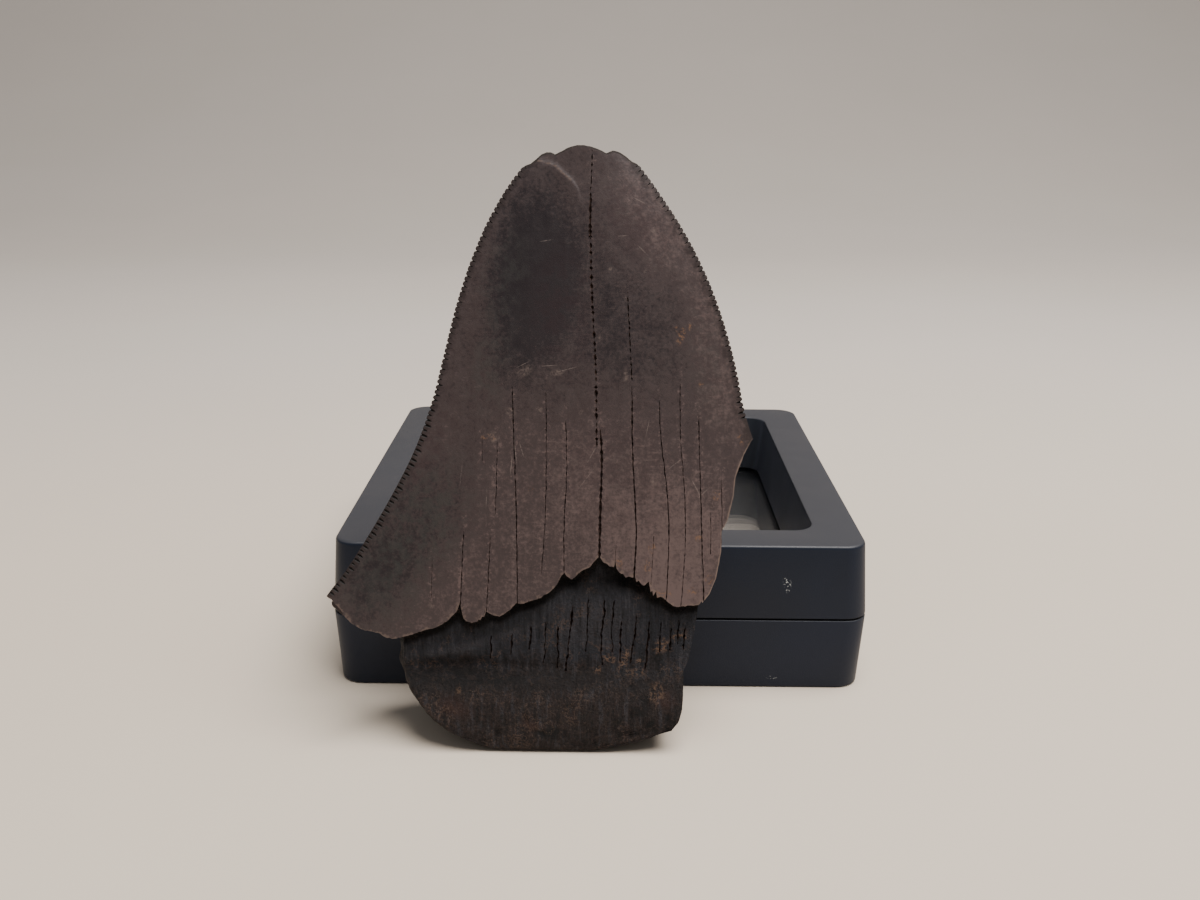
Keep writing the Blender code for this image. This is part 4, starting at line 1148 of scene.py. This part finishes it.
def enamel_finish():
    finish = Finish("enamel")
    place = finish.place(*TOOTH_AXES)
    up = finish.axes_of(place)["Z"]
    blotches = finish.noise(place, 0.16, detail=4.0, roughness=0.6)
    mottle = finish.noise(place, 0.8, detail=5.0, roughness=0.62)
    grain = finish.noise(place, 2.4, detail=3.0, roughness=0.70)
    speckle = finish.noise(place, 2.6, detail=3.0, roughness=0.7)
    rims = finish.noise(place, 1.5, detail=4.0, roughness=0.65)
    streaks = finish.noise(place, 1.0, detail=3.0, roughness=0.6, stretch=(1.0, 0.6, 0.09))
    dashes = finish.noise(place, 3.0, detail=1.0, stretch=(0.22, 1.0, 1.6))
    dashes = finish.times(finish.step(dashes, 0.60, 0.72), finish.step(blotches, 0.42, 0.60))
    near_cracks = finish.step(finish.attribute("crack"), 0.75, 0.2)
    shade = finish.total(ENAMEL_MIDDLE_SHADE, (
        # zones of tone, partly painted shade and painted dark reflection
        (1.0, finish.zones(place, ENAMEL_TONE_AND_SHADE_ZONES)),
        (0.28, blotches),
        (0.44, mottle),
        (0.95, grain),
        (0.14, dashes),
        (0.30, finish.times(near_cracks, finish.step(speckle, 0.52, 0.62))),
        (0.26, finish.step(speckle, 0.66, 0.76)),
        (finish.step(up, 46.0, 28.0, 0.05, 0.30), streaks),
    ))
    lip = finish.math("DIVIDE", finish.attribute("lip"), finish.step(rims, 0.42, 0.66, 0.04, 0.6))
    broken = finish.math("DIVIDE", finish.attribute("broken"), finish.step(rims, 0.4, 0.8, 0.14, 0.32))
    margin = finish.times(finish.attribute("margin"), finish.step(mottle, 0.3, 0.7, 0.6, 1.6))

    def speckled(marks, full, low, high, amount):
        return finish.times(finish.marks(place, marks, full), finish.step(speckle, low, high), amount)

    finish.layered(ENAMEL_TONES, {
        "middle": finish.step(shade, 0.0, 0.5),
        "light": finish.step(shade, 0.5, 1.0),
        "green": finish.times(finish.zones(place, GREEN_ZONES), finish.step(mottle, 0.40, 0.60), 0.6),
        "purple": finish.times(finish.zones(place, PURPLE_ZONES), finish.step(mottle, 0.60, 0.40), 0.5),
        "lip": finish.step(lip, 1.0, 0.3, 0.0, 0.5),
        "broken": finish.step(broken, 1.0, 0.4, 0.0, 0.6),
        "margin": finish.step(margin, 1.1, 0.2, 0.0, 0.7),
        # painted highlight along the ridge of the chip beside the tip
        "ridge": finish.step(finish.attribute("ridge"), 0.20, 0.05, 0.0, 0.40),
        "pale": speckled(PALE_MARKS, 0.7, 0.40, 0.62, 0.5),
        "rust": speckled(RUST_MARKS, 0.6, 0.48, 0.62, 0.75),
        "scratch": speckled(SCRATCHES, 0.6, 0.35, 0.55, 0.6),
    })
    finish.surface(IOR=1.5, Specular_IOR_Level=0.35, Roughness=finish.step(mottle, 0.3, 0.7, 0.42, 0.56))
    finish.bump(finish.total(0.0, ((0.6, mottle), (0.5, grain), (0.4, streaks))), 0.05)


def root_finish():
    finish = Finish("root")
    place = finish.place(*TOOTH_AXES)
    axes = finish.axes_of(place)
    fibres = finish.noise(place, 1.9, detail=5.0, roughness=0.62, stretch=(1.0, 1.0, 0.10))
    mottle = finish.noise(place, 1.0, detail=6.0, roughness=0.72)
    patches = finish.noise(place, 0.28, detail=4.0, roughness=0.6)
    grain = finish.noise(place, 3.2, detail=4.0, roughness=0.75)
    veins = finish.math("SUBTRACT", finish.noise(place, 0.9, detail=4.0, roughness=0.65), 0.5)
    veins = finish.math("ABSOLUTE", veins)
    height = finish.math("ADD", axes["Z"], finish.step(patches, 0.3, 0.7, -1.8, 1.8))
    crumbs = finish.step(height, 12.0, 8.5, 0.25, 0.8)
    pale_patches = finish.step(patches, 0.40, 0.60, 0.35, 1.0)
    dark_patches = finish.step(patches, 0.60, 0.42, 0.45, 1.0)
    dark_marks_and_groove_shade = finish.marks(place, ROOT_DARK_MARKS_AND_GROOVE_SHADE, 0.6)
    crust = finish.times(finish.marks(place, ROOT_CRUST_MARKS, 0.7), finish.step(veins, 0.075, 0.02))
    # Painted shadow of the enamel's overhanging edge on the root below it.
    under_enamel = finish.times(finish.attribute("lip"), finish.step(mottle, 0.3, 0.7, 0.6, 1.5))
    finish.layered(ROOT_TONES, {
        "foot": finish.step(height, 12.0, 8.5),
        # painted highlight on the neck
        "light": finish.times(finish.marks(place, ROOT_PAINTED_HIGHLIGHTS, 0.8), 0.5),
        "back": finish.step(axes["Y"], 3.0, 7.0, 0.0, 0.5),
        "pale_fibres": finish.step(fibres, 0.50, 0.68, 0.0, 0.7),
        "dark_fibres": finish.step(fibres, 0.48, 0.34, 0.0, 0.75),
        "brown": finish.times(finish.step(mottle, 0.52, 0.70), crumbs),
        "black": finish.times(finish.step(mottle, 0.46, 0.32), crumbs),
        # painted shade: the root is darkened where its relief is deepest
        "hollows": finish.step(finish.attribute("hollow"), 0.05, 0.40, 0.0, 0.8),
        "pale_grain": finish.times(finish.step(grain, 0.54, 0.69), pale_patches, crumbs),
        "dark_grain": finish.times(finish.step(grain, 0.49, 0.38), dark_patches, crumbs),
        "red": finish.times(finish.marks(place, ROOT_RED_MARKS, 0.8), 0.45),
        # dark patches, with painted shade along the groove above the ledge
        "dark_marks_and_groove_shade": finish.times(dark_marks_and_groove_shade, finish.step(mottle, 0.62, 0.44)),
        # painted shadow under the enamel's edge
        "under_enamel": finish.step(under_enamel, 1.1, 0.5, 0.0, 0.9),
        "crust": finish.times(crust, finish.step(grain, 0.42, 0.56), 0.85),
        "veins": finish.times(finish.step(veins, 0.03, 0.008), finish.step(patches, 0.48, 0.62), 0.5),
        # painted shade: root faces that look up are darkened
        "shaded_tops": finish.facing("Z", 0.2, 0.75, 0.65),
    })
    finish.surface(IOR=1.5, Specular_IOR_Level=0.25, Roughness=finish.step(mottle, 0.3, 0.7, 0.62, 0.86))
    finish.bump(finish.total(0.0, ((0.9, fibres), (0.6, mottle), (0.8, grain))), 0.42)


def fracture_finish():
    finish = Finish("fracture")
    place = finish.place(*TOOTH_AXES)
    layers = finish.noise(place, 1.4, detail=4.0, roughness=0.65, stretch=(0.6, 1.0, 0.22))
    grain = finish.noise(place, 4.0, detail=3.0, roughness=0.7)
    finish.layered(FRACTURE_TONES, {
        "light": finish.step(layers, 0.3, 0.7),
        "rim": finish.step(finish.attribute("broken"), 0.4, 0.0, 0.0, 0.35),
        "grain": finish.step(grain, 0.6, 0.8, 0.0, 0.4),
        # painted shade: broken faces that look up are darkened
        "shaded_tops": finish.facing("Z", 0.2, 0.75, 0.7),
    })
    finish.surface(Roughness=0.75, IOR=1.5, Specular_IOR_Level=0.2)
    finish.bump(finish.total(layers, [(0.5, grain)]), 0.18)


def crevice_finish():
    finish = Finish("crevice")
    grain = finish.noise(finish.place(*TOOTH_AXES), 2.2, detail=3.0, roughness=0.7)
    finish.layered(CREVICE_TONES, {"light": finish.step(grain, 0.40, 0.70)})
    finish.surface(Roughness=0.85, IOR=1.5, Specular_IOR_Level=0.2)


def notch_tone_and_shade_finish():
    finish = Finish("notch")
    # Partly the notches' own colour, partly painted shade in their grooves.
    finish.surface(Base_Color=NOTCH_TONE_AND_SHADE, Roughness=0.7, IOR=1.5, Specular_IOR_Level=0.3)


def case_finish(name, scuffs, side_tones):
    """Fine-textured black plastic, with a painted sheen that makes its top paler and painted light and
    shade on the walls around its windows.
    """
    finish = Finish(name)
    place = finish.place((0.0, (CASE_CENTRE_Y - CASE_SEAM_WIDTH / 2) * MM, 0.0))
    axes = finish.axes_of(place)
    texture = finish.noise(place, 6.0, detail=2.0, roughness=0.6)
    dust = finish.noise(place, 2.2, detail=4.0, roughness=0.7)
    smudge = finish.noise(place, 0.06, detail=3.0)
    flecks = finish.noise(place, 3.8, detail=2.0, roughness=0.6)
    top = finish.facing("Z", 0.3, 0.95)
    sideways = finish.math("ABSOLUTE", axes["X"])
    backwards = finish.math("ABSOLUTE", finish.math("SUBTRACT", axes["Y"], CASE_SEAM_WIDTH / 2))
    dark, light = side_tones
    tones = {
        "dark": dark,
        "light": light,
        "painted_light_inner_walls": finish.mix(finish.facing("Y", -0.3, -0.8), *INNER_WALL_PAINTED_LIGHT_TONES),
        **CASE_SHEEN_AND_MARK_TONES,
    }
    finish.layered(tones, {
        "light": finish.step(smudge, 0.35, 0.7),
        # painted light and shade on the walls around the window
        "painted_light_inner_walls": finish.step(finish.math("MAXIMUM", sideways, backwards), *INNER_WALLS_WITHIN),
        # painted sheen on the faces that look up
        "top": top,
        "dust": finish.step(dust, 0.70, 0.82, 0.0, 0.3),
        "scuffs": finish.times(finish.marks(place, scuffs, 0.6), finish.step(flecks, 0.56, 0.62)),
    })
    finish.surface(IOR=1.49, Specular_IOR_Level=finish.step(top, 0.0, 1.0, 0.26, 0.38))
    finish.surface(Roughness=finish.step(smudge, 0.3, 0.7, 0.40, 0.50))
    finish.bump(texture, 0.02)
    return finish.material


def film_finish():
    finish = Finish("clear_film")
    haze = finish.noise(finish.place(), 0.12, detail=3.0)
    # Tint partly the film's own, partly painted shade of the case's inside.
    finish.surface(Base_Color=FILM_TINT_AND_SHADE, IOR=1.8, Transmission_Weight=1.0)
    finish.surface(Coat_Weight=1.0, Coat_Roughness=0.02, Coat_IOR=2.3)
    finish.surface(Roughness=finish.step(haze, 0.4, 0.75, 0.01, 0.06))
    return finish.material


def dressed(piece, material):
    piece.data.materials.clear()
    piece.data.materials.append(material)


# ---------------------------------------------------------------- studio

FLOOR_HALF_SIZE = 2.5
SWEEP_START_Y = 0.38
SWEEP_RADIUS = 0.70
SWEEP_ROWS = 24
WALL_TOP = 1.6
FAR_FLOOR_TONES = ((201, 192, 182), (207, 198, 189))
NEAR_FLOOR_TONES = ((201, 188, 171), (206, 193, 177))
FLOOR_FAR, FLOOR_NEAR = 220.0, -20.0
ROOM_LIGHT = {"Color": (0.96, 0.97, 1.0, 1.0), "Strength": 0.30}
OVERHEAD_LIGHT = {"shape": "DISK", "size": 0.55, "energy": 9.5, "color": (1.0, 0.97, 0.94)}
OVERHEAD_PLACE = (0.17, -0.12, 0.62)


def make_floor():
    """Pale sheet that lies under the object and sweeps up behind it."""
    turn = np.linspace(0.0, math.pi / 2, SWEEP_ROWS)
    sweep = zip(SWEEP_START_Y + SWEEP_RADIUS * np.sin(turn), SWEEP_RADIUS * (1 - np.cos(turn)))
    profile = [(-FLOOR_HALF_SIZE, 0.0), *sweep, (SWEEP_START_Y + SWEEP_RADIUS, WALL_TOP)]
    rows = [[(side * FLOOR_HALF_SIZE, *place) for side in (-1, 1)] for place in profile]
    faces = [(2 * i, 2 * i + 1, 2 * i + 3, 2 * i + 2) for i in range(len(rows) - 1)]
    mesh = bpy.data.meshes.new("floor")
    mesh.from_pydata([place for row in rows for place in row], [], faces)
    mesh.shade_smooth()
    floor = bpy.data.objects.new("floor", mesh)
    bpy.context.scene.collection.objects.link(floor)
    finish = Finish("pale_floor")
    place = finish.place()
    tint = finish.noise(place, 0.012, detail=3.0)
    near = finish.step(finish.axes_of(place)["Y"], FLOOR_FAR, FLOOR_NEAR)
    colours = [finish.mix(tint, *tones) for tones in (FAR_FLOOR_TONES, NEAR_FLOOR_TONES)]
    finish.surface(Base_Color=finish.mix(near, *colours), Roughness=0.75)
    mesh.materials.append(finish.material)


def light_studio():
    """A dim even room, and one lamp above the object that faces its foot."""
    world = bpy.data.worlds.new("soft_room")
    world.use_nodes = True
    for name, value in ROOM_LIGHT.items():
        world.node_tree.nodes["Background"].inputs[name].default_value = value
    bpy.context.scene.world = world
    data = bpy.data.lights.new("overhead", "AREA")
    for name, value in OVERHEAD_LIGHT.items():
        setattr(data, name, value)
    lamp = bpy.data.objects.new("overhead", data)
    bpy.context.scene.collection.objects.link(lamp)
    lamp.location = OVERHEAD_PLACE
    lamp.rotation_euler = Vector(OVERHEAD_PLACE).to_track_quat("Z", "Y").to_euler()


CAMERA_PLACE = (0.24, -174.33, 77.26)
CAMERA_PITCH = math.radians(16.74)
CAMERA_YAW = math.radians(-0.151)
CAMERA_ROLL = math.radians(0.473)
CAMERA_LENS = 37.14
CAMERA_SENSOR_WIDTH = 36.0
CAMERA_CLIP_START = 0.005


def place_camera():
    """The photo's own camera, as it was fitted to the case's corners."""
    data = bpy.data.cameras.new("photo_view")
    data.lens = CAMERA_LENS
    data.sensor_width = CAMERA_SENSOR_WIDTH
    data.clip_start = CAMERA_CLIP_START
    camera = bpy.data.objects.new("photo_view", data)
    bpy.context.scene.collection.objects.link(camera)
    turn = Matrix.Rotation(-CAMERA_YAW, 4, "Z") @ Matrix.Rotation(math.pi / 2 - CAMERA_PITCH, 4, "X")
    turn = turn @ Matrix.Rotation(CAMERA_ROLL, 4, "Z")
    camera.matrix_world = Matrix.Translation([side * MM for side in CAMERA_PLACE]) @ turn
    bpy.context.scene.camera = camera


def handed_in(piece, replaced):
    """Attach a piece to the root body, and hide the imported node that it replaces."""
    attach(piece, "root")
    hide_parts(replaced)


def main():
    place_camera()
    light_studio()
    make_floor()
    tooth = make_tooth()
    for finish in (enamel_finish, root_finish, fracture_finish, crevice_finish, notch_tone_and_shade_finish):
        finish()
    handed_in(tooth, "tooth")
    film = film_finish()
    for name, is_lid, scuffs, tones in (
        ("base", False, BASE_SCUFFS, BASE_TONES), ("lid", True, LID_SCUFFS, LID_TONES),
    ):
        half = make_case_half("frame_" + name, is_lid)
        dressed(half, case_finish(name + "_plastic", scuffs, tones))
        handed_in(half, "case_" + name)
        sheet = make_film("clear_" + name, is_lid)
        dressed(sheet, film)
        handed_in(sheet, name + "_film")


main()
